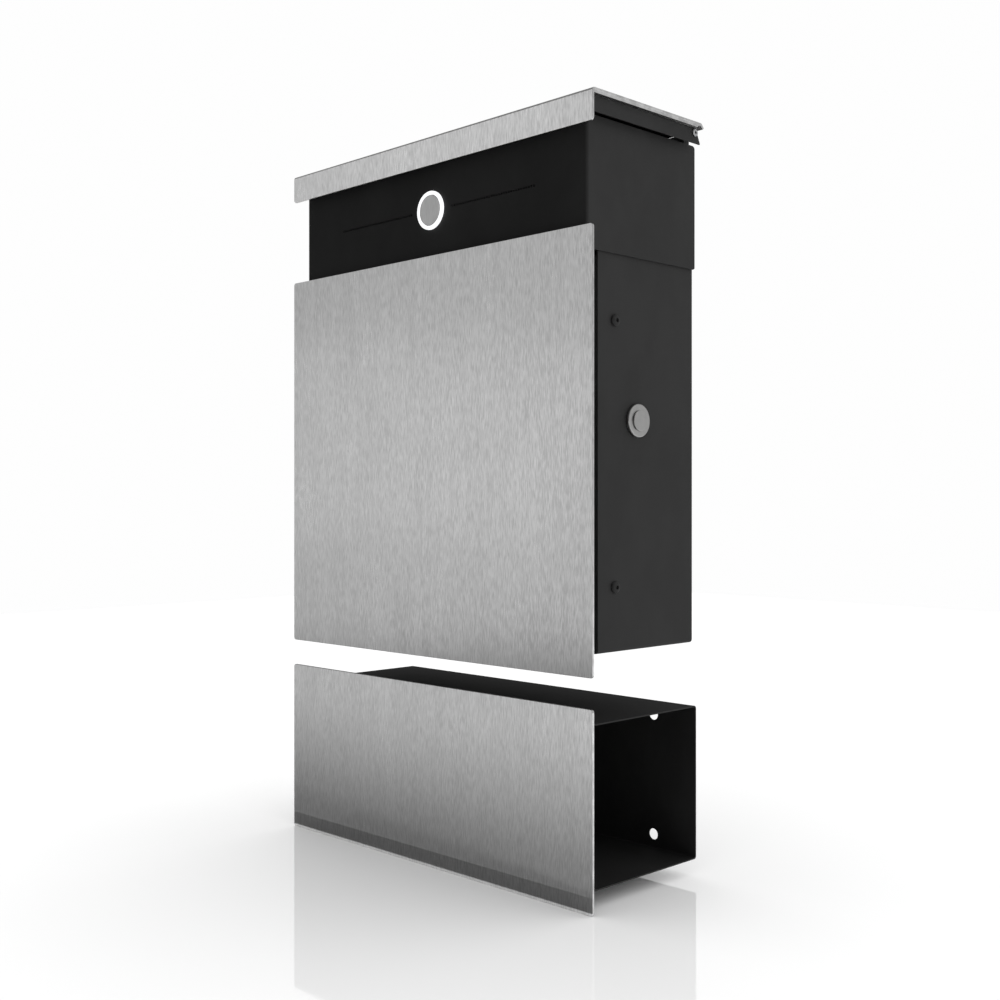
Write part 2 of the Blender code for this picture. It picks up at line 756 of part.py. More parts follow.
def make_lock():
    """A cam lock in the right wall: housing, nut, plug, cam, cam screw and dust cover."""
    out = Vector((1, 0, 0))
    centre = Vector((HALF_CASING, LOCK_Y, LOCK_Z))
    face = 0.0029  # the head's face, out from the wall
    barrel_end = -0.023
    profile = [
        (LOCK_BORE, face),
        (LOCK_HEAD_RADIUS - 0.0012, face),
        (LOCK_HEAD_RADIUS, face - 0.0012),
        (LOCK_HEAD_RADIUS, FIT),
        (0.0095, FIT),
        (0.0095, barrel_end),
        (LOCK_BORE, barrel_end),
    ]
    housing = turned("lock_housing", profile, centre, out, "lock_nickel", 32, ring=True)
    cover_pivot = centre + Vector((0, 0, COVER_PIVOT_UP))
    drill(housing, 0.0012, cover_pivot + out * (face - 0.002), cover_pivot + out * 0.01, 12)

    nut_face = centre - out * (STEEL_SHEET + FIT)
    nut = hexagon("lock_nut", 0.024, nut_face - out * 0.005, nut_face)
    drill(nut, 0.0099, nut_face - out * 0.01, nut_face + out * 0.01, 24)

    plug_face = centre + out * (face - FIT)
    plug_end = centre + out * (CAM_LEFT + CAM_SHEET + FIT - HALF_CASING)
    plug = rod("lock_plug", LOCK_PLUG_RADIUS, plug_end, plug_face, "lock_nickel", 24)
    slot = Vector((0.008, 0.0013, 0.0065))
    cut(plug, block("keyway", plug_face - slot / 2, plug_face + slot / 2))
    drill(plug, 0.0023, plug_end - out * 0.01, plug_end + out * 0.008, 12)

    tip = CAM_LENGTH - 0.006
    outline = arc((0, 0), 0.007, 100, 260, 8) + arc((tip, 0), 0.006, -90, 90, 6)
    cam_middle = (CAM_LEFT + CAM_SHEET / 2, LOCK_Y, LOCK_Z)
    cam = flat_plate("lock_cam", outline, CAM_SHEET, cam_middle, "zinc")
    cam.rotation_euler = (math.radians(90), 0, math.radians(-90))
    drill(cam, 0.0023, centre - out * 0.04, centre, 12)
    screw_profile = [
        (0.0, 0.0022),
        (0.0030, 0.0022),
        (0.0038, 0.0014),
        (0.0038, 0.0),
        (0.0019, 0.0),
        (0.0019, -0.0085),
        (0.0, -0.0085),
    ]
    screw_seat = (CAM_LEFT - FIT, LOCK_Y, LOCK_Z)
    screw = turned("cam_screw", screw_profile, screw_seat, -out, "zinc", 12)
    hang(pivot("lock_pivot", centre), plug, cam, screw)

    back = face + FIT
    disc = [
        (0.0, back + 0.0011),
        (LOCK_COVER_RADIUS - 0.0004, back + 0.0011),
        (LOCK_COVER_RADIUS, back + 0.0007),
        (LOCK_COVER_RADIUS, back),
        (0.0, back),
    ]
    cover = turned("lock_cover", disc, centre, out, "lock_nickel", 32)
    stub_ends = cover_pivot + out * (face - 0.0015), cover_pivot + out * (back + 0.0005)
    join(cover, rod("cover_stub", 0.00085, *stub_ends))
    hang(pivot("lock_cover_pivot", cover_pivot), cover)


# ---------------------------------------------------------------- bell push


def make_bell():
    """A bell push: ring and cap in front of the hood, barrel, gasket, nut and switch behind."""
    front = Vector((0, -1, 0))
    seat = Vector((0, HOOD_FRONT, BELL_Z))
    ring_front = 0.0024
    ring_profile = [
        (BELL_CAP_RADIUS + FIT, ring_front),
        (BELL_RING_RADIUS - 0.0009, ring_front),
        (BELL_RING_RADIUS - 0.0002, ring_front - 0.0004),
        (BELL_RING_RADIUS, ring_front - 0.0010),
        (BELL_RING_RADIUS, FIT),
        (BELL_CAP_RADIUS + FIT, FIT),
    ]
    turned("bell_ring", ring_profile, seat, front, "luminous_ring", 32, ring=True)

    floor = -0.013
    barrel_profile = [
        (BELL_CAP_RADIUS + 0.00035, 0.0),
        (BELL_BARREL_RADIUS, 0.0),
        (BELL_BARREL_RADIUS, floor - 0.0015),
        (0.0034, floor - 0.0015),
        (0.0034, floor),
        (BELL_CAP_RADIUS + 0.00035, floor),
    ]
    turned("bell_barrel", barrel_profile, seat, front, "zinc", 32, ring=True)

    behind = -STEEL_SHEET - FIT
    gasket_foot = seat + front * (behind - 0.0013)
    bore = BELL_BARREL_RADIUS + FIT
    washer("bell_gasket", bore, 0.019, gasket_foot, front, 0.0013, "black_rubber", 32)
    nut_face = gasket_foot - front * FIT
    nut = hexagon("bell_nut", 0.035, nut_face - front * 0.0035, nut_face)
    drill(nut, bore, nut_face - front * 0.01, nut_face + front * 0.01, 32)

    cap_front = ring_front - FIT
    stem_end = floor - 0.0005
    cap_profile = [
        (0.0, cap_front),
        (BELL_CAP_RADIUS - 0.0003, cap_front),
        (BELL_CAP_RADIUS, cap_front - 0.0003),
        (BELL_CAP_RADIUS, cap_front - 0.0016),
        (0.0030, cap_front - 0.0016),
        (0.0030, stem_end),
        (0.0, stem_end),
    ]
    cap = turned("bell_cap", cap_profile, seat, front, "brushed_stainless", 32)
    hang(pivot("bell_pivot", seat), cap)

    switch_front = HOOD_FRONT - stem_end + BELL_TRAVEL + FIT
    block(
        "bell_switch",
        (-0.010, switch_front, BELL_Z - 0.006),
        (0.010, switch_front + 0.008, BELL_Z + 0.006),
        "black_rubber",
    )
    shell(
        "bell_guard",
        (-0.034, HOOD_FRONT + STEEL_SHEET + FIT, BELL_Z - 0.027),
        (0.034, -0.108, BELL_Z + 0.027),
        [(0, -1, 0)],
        0.001,
        bend=0.002,
    )


# ---------------------------------------------------------------- newspaper sleeve


def make_newspaper_sleeve():
    """A rectangular tube open at both ends, behind its own stainless panel."""
    low = (-SLEEVE_HALF, SLEEVE_FRONT, SLEEVE_Z - SLEEVE_HEIGHT / 2)
    high = (SLEEVE_HALF, 0.0, SLEEVE_Z + SLEEVE_HEIGHT / 2)
    sleeve = shell("news_sleeve", low, high, [(-1, 0, 0), (1, 0, 0)], THIN_SHEET)
    for x in (-WALL_HOLE_X, WALL_HOLE_X):
        for level in (low[2] + SLEEVE_HOLE_INSET, high[2] - SLEEVE_HOLE_INSET):
            drill(sleeve, WALL_HOLE_RADIUS, (x, -0.01, level), (x, 0.01, level))
    rounded_panel(
        "news_panel",
        (-HALF_PANEL, PANEL_FRONT, NEWS_PANEL_TOP - NEWS_PANEL_HEIGHT),
        (HALF_PANEL, PANEL_BACK, NEWS_PANEL_TOP),
        BEND,
    )
    make_tapes("news", 0.165, 0.0, {"upper": SLEEVE_Z + 0.045, "lower": SLEEVE_Z - 0.045})


clear_scene()
parts = new_collection("wall_mailbox")
helpers = new_collection("cutters")
make_casing()
for rail_side, rail_sign in SIDES.items():
    make_rail(rail_side, rail_sign)
make_side_screws()
make_grommet()
make_hood()
make_lid_buffers()
make_lid()
make_door()
make_door_buffers()
make_lock()
make_bell()
make_newspaper_sleeve()
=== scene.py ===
# %% [markdown]
# # A wall mounted mailbox with a bell push and a newspaper sleeve
#
# The real mailbox is folded from steel sheet. Three outer panels, the lid, the door and the
# newspaper panel, are brushed stainless. Everything behind them is powder coated black. The
# design comes in as a fixed frame of finished solids, and this script makes what is seen of
# it: soft sheet edges, round folds, turned fittings, the finishes and the studio.
#
# The frame comes first, because every place below is read from it.

# %% Load the frame
import json
import math

import bmesh
import bpy
import numpy as np
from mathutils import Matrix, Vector


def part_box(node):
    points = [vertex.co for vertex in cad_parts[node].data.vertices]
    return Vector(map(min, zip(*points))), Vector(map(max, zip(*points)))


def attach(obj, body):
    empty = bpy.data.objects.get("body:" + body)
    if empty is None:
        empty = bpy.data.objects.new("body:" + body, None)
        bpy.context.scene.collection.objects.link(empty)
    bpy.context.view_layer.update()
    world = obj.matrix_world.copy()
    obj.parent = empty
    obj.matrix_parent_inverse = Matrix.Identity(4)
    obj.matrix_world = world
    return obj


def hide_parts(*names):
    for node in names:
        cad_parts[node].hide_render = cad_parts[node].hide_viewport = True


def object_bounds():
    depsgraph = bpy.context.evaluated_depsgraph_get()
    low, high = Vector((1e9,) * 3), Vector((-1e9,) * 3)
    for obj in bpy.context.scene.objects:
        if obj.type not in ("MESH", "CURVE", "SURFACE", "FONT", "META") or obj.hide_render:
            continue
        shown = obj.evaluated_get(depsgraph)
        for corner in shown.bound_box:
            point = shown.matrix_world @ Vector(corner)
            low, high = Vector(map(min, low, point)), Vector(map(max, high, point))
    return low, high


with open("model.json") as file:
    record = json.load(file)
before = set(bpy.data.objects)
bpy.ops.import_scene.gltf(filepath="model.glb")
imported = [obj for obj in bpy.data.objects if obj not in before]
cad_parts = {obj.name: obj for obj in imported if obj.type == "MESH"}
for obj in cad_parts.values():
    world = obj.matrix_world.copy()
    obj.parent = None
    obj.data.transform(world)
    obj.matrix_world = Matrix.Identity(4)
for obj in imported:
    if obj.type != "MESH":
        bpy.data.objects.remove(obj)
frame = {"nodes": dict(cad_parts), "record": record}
cad_box = [list(corner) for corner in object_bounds()]
print("size:", [round(high - low, 4) for low, high in zip(*cad_box)])


def corners(node):
    """The lowest and highest corner of a node of the frame."""
    low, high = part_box(node)
    return np.array(low), np.array(high)


def centre_of(node):
    """The middle of a node's box."""
    low, high = corners(node)
    return (low + high) / 2


def put(name, data):
    """A new object in the scene for a mesh, a lamp or a camera."""
    thing = bpy.data.objects.new(name, data)
    bpy.context.scene.collection.objects.link(thing)
    return thing


# %% [markdown]
# ## The camera
#
# A tall box seen from one front corner shows its depth, its lock and the open end of the
# sleeve at once. The camera looks level, so upright edges stay upright. It stands a little
# below the mailbox's middle, which is why the underside of the lid can be seen.

# %% Camera
camera_data = bpy.data.cameras.new("camera")
camera_data.lens = 46.02
camera_data.sensor_width = 36.0
camera = put("camera", camera_data)
camera.location = (0.8222, -0.8617, -0.0878)
camera.rotation_euler = (math.radians(90), 0, math.radians(45.457))
bpy.context.scene.camera = camera
bpy.context.scene.view_settings.view_transform = "Standard"

# %% [markdown]
# ## Patterns as arithmetic
#
# Brushed grain, orange peel and wear are sums and products of noise. Wired by hand, such sums
# are hard to read. A small class wraps one output socket and overloads the operators, so a
# pattern can be written as an expression, and each operator adds its own Math node.


# %% A socket with operators
class Field:
    """A number or colour that changes over a surface: one output socket of a node."""

    def __init__(self, board, socket):
        self.board = board
        self.socket = socket

    def math(self, operation, first, second):
        return self.board.node("ShaderNodeMath", {"operation": operation}, [first, second])

    def __add__(self, other):
        return self.math("ADD", self, other)

    def __sub__(self, other):
        return self.math("SUBTRACT", self, other)

    def __rsub__(self, other):
        return self.math("SUBTRACT", other, self)

    def __mul__(self, other):
        return self.math("MULTIPLY", self, other)

    __radd__ = __add__
    __rmul__ = __mul__


class Board:
    """A node tree on which patterns are worked out."""

    def __init__(self, tree):
        self.tree = tree

    def node(self, kind, settings=None, values=(), output=0):
        """Adds a node: its settings first, then values or links for its sockets."""
        node = self.tree.nodes.new(kind)
        for name, value in (settings or {}).items():
            setattr(node, name, value)
        pairs = values.items() if isinstance(values, dict) else enumerate(values)
        for key, value in pairs:
            if isinstance(value, Field):
                self.tree.links.new(value.socket, node.inputs[key])
            else:
                node.inputs[key].default_value = value
        return Field(self, node.outputs[output])

    def place(self, scale=(1.0, 1.0, 1.0), middle=(0.0, 0.0, 0.0)):
        """The object's own coordinates, measured from the middle and stretched by the scale."""
        here = self.node("ShaderNodeTexCoord", output="Object")
        kind = "ShaderNodeVectorMath"
        moved = self.node(kind, {"operation": "SUBTRACT"}, [here, tuple(middle)])
        return self.node(kind, {"operation": "MULTIPLY"}, [moved, tuple(scale)])

    def distance(self, place):
        """The length of a place's vector."""
        return self.node("ShaderNodeVectorMath", {"operation": "LENGTH"}, [place], output="Value")

    def noise(self, cell, detail=2.0, roughness=0.5):
        """Noise from 0 to 1, whose cell has these three lengths in metres."""
        here = self.place([1.0 / length for length in cell])
        values = {"Vector": here, "Scale": 1.0, "Detail": detail, "Roughness": roughness}
        return self.node("ShaderNodeTexNoise", {}, values)

    def span(self, value, low, high, to_low=0.0, to_high=1.0):
        """The value's range from low to high carried smoothly onto another range."""
        settings = {"interpolation_type": "SMOOTHSTEP"}
        values = {"Value": value, 1: low, 2: high, 3: to_low, 4: to_high}
        return self.node("ShaderNodeMapRange", settings, values)

    def tint(self, share, dark, light):
        """A colour between two others."""
        settings = {"data_type": "RGBA"}
        values = {0: share, 6: (*dark, 1.0), 7: (*light, 1.0)}
        return self.node("ShaderNodeMix", settings, values, output=2)

    def bump(self, height, strength, depth):
        """A normal from a height field, in metres of depth."""
        values = {"Height": height, "Strength": strength, "Distance": depth}
        return self.node("ShaderNodeBump", {}, values)


def finish(name, **fixed):
    """A material with a Principled shader, its board and the shader. Fixed values go in first."""
    material = bpy.data.materials.new(name)
    material.use_nodes = True
    shader = material.node_tree.nodes["Principled BSDF"]
    for socket, value in fixed.items():
        shader.inputs[socket.replace("_", " ")].default_value = value
    return material, Board(material.node_tree), shader


def feed(board, shader, **sockets):
    """Links fields to the shader's sockets."""
    for socket, value in sockets.items():
        board.tree.links.new(value.socket, shader.inputs[socket.replace("_", " ")])


def grey(level):
    """A colour without a hue."""
    return (level, level, level)


# %% [markdown]
# ## Brushed stainless steel
#
# An abrasive belt scratches the sheet along one direction, here up and down. Each scratch is a
# fraction of a millimetre wide and some millimetres long. Noise whose cell is stretched the
# same way gives these proportions. Three sizes are added, because belts leave fine scratches,
# streaks and slow bands. The grain sets the tone, the roughness and a very shallow bump, so it
# shows both in the plain light and in reflections. The lid's blank is brushed before it is
# folded, so its grain runs over the fold: a cell that is long in Y as well as in Z does that.


# %% Brushed stainless steel
def brushed_steel(name, tone=0.60, contrast=0.065, roughness=0.32):
    """Steel with a straight grain, whose tone swings about its middle by the contrast."""
    material, board, shader = finish(name, Metallic=1.0, Anisotropic=0.85)
    fine = board.noise((0.00035, 0.009, 0.009), detail=3.0, roughness=0.65)
    streaks = board.noise((0.0008, 0.008, 0.008), detail=2.0, roughness=0.6)
    bands = board.noise((0.006, 0.09, 0.09), detail=2.0)
    grain = fine * 0.40 + streaks * 0.50 + bands * 0.10
    share = board.span(grain, 0.39, 0.61)
    dark = grey(tone * (1.0 - contrast) ** 2)
    light = grey(tone * (1.0 + contrast) ** 2)
    smear = board.noise((0.05, 0.05, 0.07), detail=3.0)
    feed(
        board,
        shader,
        Base_Color=board.tint(share, dark, light),
        Roughness=share * -0.07 + smear * 0.06 + roughness,
        Normal=board.bump(fine, 0.25, 0.00002),
    )
    return material


stainless = brushed_steel("brushed_stainless")
button_steel = brushed_steel("brushed_button", tone=0.36, contrast=0.02, roughness=0.42)

# %% [markdown]
# ## Black powder coat
#
# The powder melts into a skin with a faint orange peel, half a millimetre from bump to bump.
# It is not a mirror, but its plastic skin still reflects the room, so most of what is seen of
# a black face is the sheen. The base is therefore nearly black and even, and the work is in
# the bump and in the roughness, which varies slowly where hands and rain have been.


# %% Black powder coat
def powder_coat(name, tone=0.028, roughness=0.64):
    """A satin skin with orange peel, a little smoother where the film is thick."""
    material, board, shader = finish(name, Specular_IOR_Level=0.25)
    peel = board.noise((0.0006, 0.0006, 0.0006), detail=2.0, roughness=0.55)
    specks = board.noise((0.00022, 0.00022, 0.00022), detail=1.0)
    film = board.noise((0.06, 0.06, 0.09), detail=4.0, roughness=0.6)
    share = board.span(film, 0.35, 0.65)
    feed(
        board,
        shader,
        Base_Color=board.tint(share * 0.6 + specks * 0.4, grey(tone * 0.8), grey(tone * 1.25)),
        Roughness=share * 0.05 + specks * 0.04 + (roughness - 0.04),
        Normal=board.bump(peel * 0.8 + specks * 0.2, 0.22, 0.00004),
    )
    return material


black_coat = powder_coat("black_powder_coat")

# %% [markdown]
# ## Fittings
#
# Small parts get small versions of the same ideas. Zinc plating is blotchy and a little dull.
# The lock's nickel is turned on a lathe, so its grain is made of rings round the lock's axis:
# the distance from that axis drives the noise. Rubber is matt with fine dust, nylon has a
# moulded skin, and the bonding tape is an open foam.


# %% Metal fittings
def zinc_plate(name):
    """Dull zinc with crystal blotches and fine scratches."""
    material, board, shader = finish(name, Metallic=1.0)
    blotches = board.noise((0.004, 0.004, 0.004), detail=5.0, roughness=0.65)
    scratches = board.noise((0.0002, 0.003, 0.0002), detail=2.0)
    share = board.span(blotches * 0.7 + scratches * 0.3, 0.35, 0.65)
    feed(
        board,
        shader,
        Base_Color=board.tint(share, (0.34, 0.35, 0.37), (0.55, 0.55, 0.54)),
        Roughness=share * -0.12 + 0.46,
        Normal=board.bump(scratches, 0.2, 0.00002),
    )
    return material


def turned_nickel(name, axis_place, tone=0.40):
    """Nickel with rings about an axis along X through a place."""
    material, board, shader = finish(name, Metallic=1.0)
    arm = board.place((0.0, 1.0, 1.0), axis_place)
    radius = board.distance(arm)
    across = board.node("ShaderNodeCombineXYZ", {}, [radius * (1.0 / 0.00025), 0.0, 0.0])
    values = {"Vector": across, "Scale": 1.0, "Detail": 2.0}
    rings = board.node("ShaderNodeTexNoise", {}, values)
    stain = board.noise((0.006, 0.006, 0.006), detail=3.0)
    share = board.span(rings * 0.6 + stain * 0.4, 0.35, 0.65)
    light = (tone * 1.07, tone * 1.06, tone * 1.04)
    feed(
        board,
        shader,
        Base_Color=board.tint(share, grey(tone * 0.93), light),
        Roughness=share * -0.06 + 0.40,
        Normal=board.bump(rings, 0.2, 0.00002),
    )
    return material


lock_axis = (0.0, *centre_of("lock_housing")[1:])
zinc = zinc_plate("zinc_plating")
nickel = turned_nickel("turned_nickel", lock_axis)


# %% Rubber, nylon, tape and the lit ring
def soft_plastic(name, dark, light, cell, roughness, grain):
    """A moulded skin of this cell size and depth, with dust in patches 14 cells wide."""
    material, board, shader = finish(name)
    skin = board.noise((cell, cell, cell), detail=3.0, roughness=0.6)
    dust = board.noise((cell * 14, cell * 14, cell * 14), detail=4.0)
    share = board.span(skin * 0.5 + dust * 0.5, 0.35, 0.65)
    feed(
        board,
        shader,
        Base_Color=board.tint(share, dark, light),
        Roughness=share * 0.10 + roughness,
        Normal=board.bump(skin, 0.4, grain),
    )
    return material


def lit_ring(name):
    """A milky ring with a light behind it, a touch brighter in random milky patches."""
    material, board, shader = finish(name, Roughness=0.35, Emission_Strength=1.0)
    milk = board.noise((0.003, 0.003, 0.003), detail=2.0)
    share = board.span(milk, 0.3, 0.7)
    feed(
        board,
        shader,
        Base_Color=board.tint(share, grey(0.88), grey(0.95)),
        Emission_Color=board.tint(share, (0.90, 0.92, 0.95), grey(1.0)),
    )
    return material


rubber = soft_plastic("black_rubber", grey(0.012), grey(0.030), 0.0005, 0.72, 0.00003)
nylon = soft_plastic("grey_nylon", grey(0.26), grey(0.34), 0.0008, 0.42, 0.00002)
foam_tape = soft_plastic("bond_tape", grey(0.06), grey(0.13), 0.0003, 0.78, 0.00006)
ring_light = lit_ring("luminous_ring")

FINISHES = {
    "black_powder_coat": black_coat,
    "brushed_stainless": stainless,
    "zinc_plated_steel": zinc,
    "nickel_plated_brass": nickel,
    "luminous_ring": ring_light,
    "black_rubber": rubber,
    "grey_nylon": nylon,
    "bond_tape": foam_tape,
}
SLOT_OF = {entry["node"]: entry["material_slot"] for entry in frame["record"]["subparts"]}
BODY_OF = {
    node: body for body, nodes in frame["record"]["behaviour"]["bodies"].items() for node in nodes
}
for node, thing in frame["nodes"].items():
    thing.data.materials.clear()
    thing.data.materials.append(FINISHES[SLOT_OF[node]])
print("materials:", len(bpy.data.materials))

# %% [markdown]
# ## From a grid of points to a piece
#
# Every new surface below is a grid of points worked out as one array. Neighbouring points make
# quads, the ends are closed with a flat face, and points that fell together are merged. Real
# sheet metal has no knife edges, and the thin highlight on a cut edge is what tells the eye
# that it is steel. So each shape has a small round on its edges, and the Weighted Normal
# modifier keeps the large faces flat beside them.


# %% Grids of points, and their faces
def grid_faces(rows, columns, closed_rows):
    """Quads between neighbours of a grid whose points are numbered row by row."""
    row = np.arange(rows if closed_rows else rows - 1)[:, None]
    column = np.arange(columns)[None, :]
    below = (row + 1) % rows
    beside = (column + 1) % columns
    quads = [row * columns + column, row * columns + beside]
    quads += [below * columns + beside, below * columns + column]
    return np.stack(np.broadcast_arrays(*quads), -1).reshape(-1, 4).tolist()


def capped(points, closed_rows=False):
    """The points as a list and their faces, with a flat face on the first and last row."""
    rows, columns = points.shape[:2]
    faces = grid_faces(rows, columns, closed_rows)
    if not closed_rows:
        faces.append(list(range(columns)))
        faces.append([(rows - 1) * columns + i for i in reversed(range(columns))])
    return points.reshape(-1, 3), faces


def closed_mesh(name, points, faces):
    """A mesh of the points and faces, merged where points fell together, facing outwards."""
    mesh = bpy.data.meshes.new(name)
    mesh.from_pydata(np.asarray(points).tolist(), [], faces)
    tidy = bmesh.new()
    tidy.from_mesh(mesh)
    bmesh.ops.remove_doubles(tidy, verts=tidy.verts, dist=2e-6)
    bmesh.ops.dissolve_degenerate(tidy, edges=tidy.edges, dist=1e-6)
    bmesh.ops.recalc_face_normals(tidy, faces=tidy.faces)
    tidy.to_mesh(mesh)
    tidy.free()
    return mesh


# %% Holes and joins
def spokes(axis, sides):
    """Unit vectors square to the axis, at even angles all the way round it."""
    across = np.cross(axis, (0, 0, 1) if abs(axis[2]) < 0.9 else (0, 1, 0))
    across /= np.linalg.norm(across)
    angle = np.arange(sides) * 2 * np.pi / sides
    return np.cos(angle)[:, None] * across + np.sin(angle)[:, None] * np.cross(axis, across)


def prism(foot, axis, radius, length, sides=32):
    """A straight bar: a circle of this many sides about the axis, at the foot and the end."""
    axis = np.array(axis, float)
    circle = spokes(axis, sides)
    ends = [np.array(foot) + circle * radius + axis * step for step in (0.0, length)]
    return capped(np.stack(ends))


def bar(low, high):
    """A box between two corners."""
    low, high = np.array(low, float), np.array(high, float)
    square = np.array([(0, 0), (1, 0), (1, 1), (0, 1)])
    ends = [np.c_[np.full(4, end), square] for end in (0, 1)]
    return capped(low + (high - low) * np.stack(ends))


def together(shapes):
    """Several shapes as one list of points and faces."""
    starts = np.cumsum([0] + [len(points) for points, faces in shapes])
    joined = [
        [index + int(start) for index in face]
        for (points, faces), start in zip(shapes, starts)
        for face in faces
    ]
    return np.vstack([points for points, faces in shapes]), joined


def joined_flats(mesh, nearest=2e-6):
    """The mesh with its points merged and its flat neighbours made one face."""
    tidy = bmesh.new()
    tidy.from_mesh(mesh)
    bmesh.ops.remove_doubles(tidy, verts=tidy.verts, dist=nearest)
    bmesh.ops.dissolve_degenerate(tidy, edges=tidy.edges, dist=1e-6)
    bmesh.ops.dissolve_limit(
        tidy, angle_limit=math.radians(0.3), verts=tidy.verts, edges=tidy.edges
    )
    tidy.to_mesh(mesh)
    tidy.free()
    return mesh


def carved(mesh, shape, operation="DIFFERENCE"):
    """The mesh with a shape cut out of it or joined to it."""
    body = put("body", mesh)
    tool = put("tool", closed_mesh("tool", *shape))
    carve = body.modifiers.new("carve", "BOOLEAN")
    carve.operation = operation
    carve.solver = "EXACT"
    carve.object = tool
    graph = bpy.context.evaluated_depsgraph_get()
    result = bpy.data.meshes.new_from_object(body.evaluated_get(graph))
    for thing in (body, tool):
        old = thing.data
        bpy.data.objects.remove(thing)
        bpy.data.meshes.remove(old)
    return joined_flats(result)


# %% The mesh becomes a piece
def settle(name, mesh, node, material=None, soft=0.0):
    """An object for the mesh: it stands for this node and moves with the node's body.

    Soft is the width of a small round on edges that turn by more than 50 degrees.
    """
    mesh.name = name
    mesh.shade_smooth()
    mesh.set_sharp_from_angle(angle=math.radians(35))
    thing = put(name, mesh)
    mesh.materials.clear()
    mesh.materials.append(material or FINISHES[SLOT_OF[node]])
    if soft:
        edges = thing.modifiers.new("soft edges", "BEVEL")
        edges.width = soft
        edges.segments = 2
        edges.limit_method = "ANGLE"
        edges.angle_limit = math.radians(50)
        edges.miter_outer = "MITER_ARC"
    flat = thing.modifiers.new("flat faces", "WEIGHTED_NORMAL")
    flat.keep_sharp = True
    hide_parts(node)
    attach(thing, BODY_OF[node])
    return thing


# %% [markdown]
# ## Folded sheet
#
# A press brake bends a flat blank along straight lines. The shape is then a path in one plane,
# run along the third direction, and the blank's outline says where the run starts and ends at
# each point of the path. That gives a lid with round corners, a hood with hinge ears and a
# sleeve from the same function: path, outline and thickness.


# %% Round corners on a path
def fillet(points, radius, closed=False, steps=5):
    """A flat path with its corners made round.

    The arc starts radius * tan(turn / 2) before the corner, and its centre lies on the
    corner's bisector, radius / cos(turn / 2) away. The points of the arc are the start arm
    turned evenly into the end arm.
    """
    points = np.asarray(points, float)
    radius = np.broadcast_to(np.asarray(radius, float), len(points)).copy()
    if not closed:
        radius[[0, -1]] = 0.0
    back = np.roll(points, 1, axis=0) - points
    ahead = np.roll(points, -1, axis=0) - points
    back /= np.maximum(np.linalg.norm(back, axis=1, keepdims=True), 1e-12)
    ahead /= np.maximum(np.linalg.norm(ahead, axis=1, keepdims=True), 1e-12)
    turn = np.pi - np.arccos(np.clip((back * ahead).sum(1), -1.0, 1.0))
    turn = np.clip(turn, 1e-4, np.pi - 1e-3)[:, None]
    radius = radius[:, None]
    bisector = back + ahead
    bisector /= np.maximum(np.linalg.norm(bisector, axis=1, keepdims=True), 1e-9)
    centre = points + bisector * radius / np.cos(turn / 2)
    start = points + back * radius * np.tan(turn / 2) - centre
    end = points + ahead * radius * np.tan(turn / 2) - centre
    share = np.linspace(0.0, 1.0, steps + 1)[None, :, None]
    turn = turn[:, None]
    arms = np.sin((1 - share) * turn) * start[:, None] + np.sin(share * turn) * end[:, None]
    arcs = (centre[:, None] + arms / np.sin(turn)).reshape(-1, 2)
    keep = np.linalg.norm(arcs - np.roll(arcs, 1, axis=0), axis=1) > 1e-7
    return arcs[keep]


def add_stations(path, stations, closed=False):
    """The path with points added at these distances along it, and each point's distance."""
    around = np.vstack([path, path[:1]]) if closed else path
    length = np.r_[0.0, np.cumsum(np.linalg.norm(np.diff(around, axis=0), axis=1))]
    wanted = np.r_[length[:-1] if closed else length, np.asarray(stations, float)]
    wanted = np.sort(np.clip(wanted, 0.0, length[-1]))
    wanted = wanted[np.r_[True, np.diff(wanted) > 2e-6]]
    spots = np.stack([np.interp(wanted, length, around[:, i]) for i in range(2)], 1)
    return spots, wanted, length[-1]


def drawn_in(distance, radius):
    """How far a corner of this radius draws the edge in, at a distance from the corner."""
    left = np.clip(radius - distance, 0.0, radius)
    return radius - np.sqrt(radius**2 - left**2)


def quarter(radius, steps=6):
    """Distances at which a rounded corner of this radius needs its points."""
    return radius * (1.0 - np.cos(np.linspace(0.0, np.pi / 2, steps + 1)))


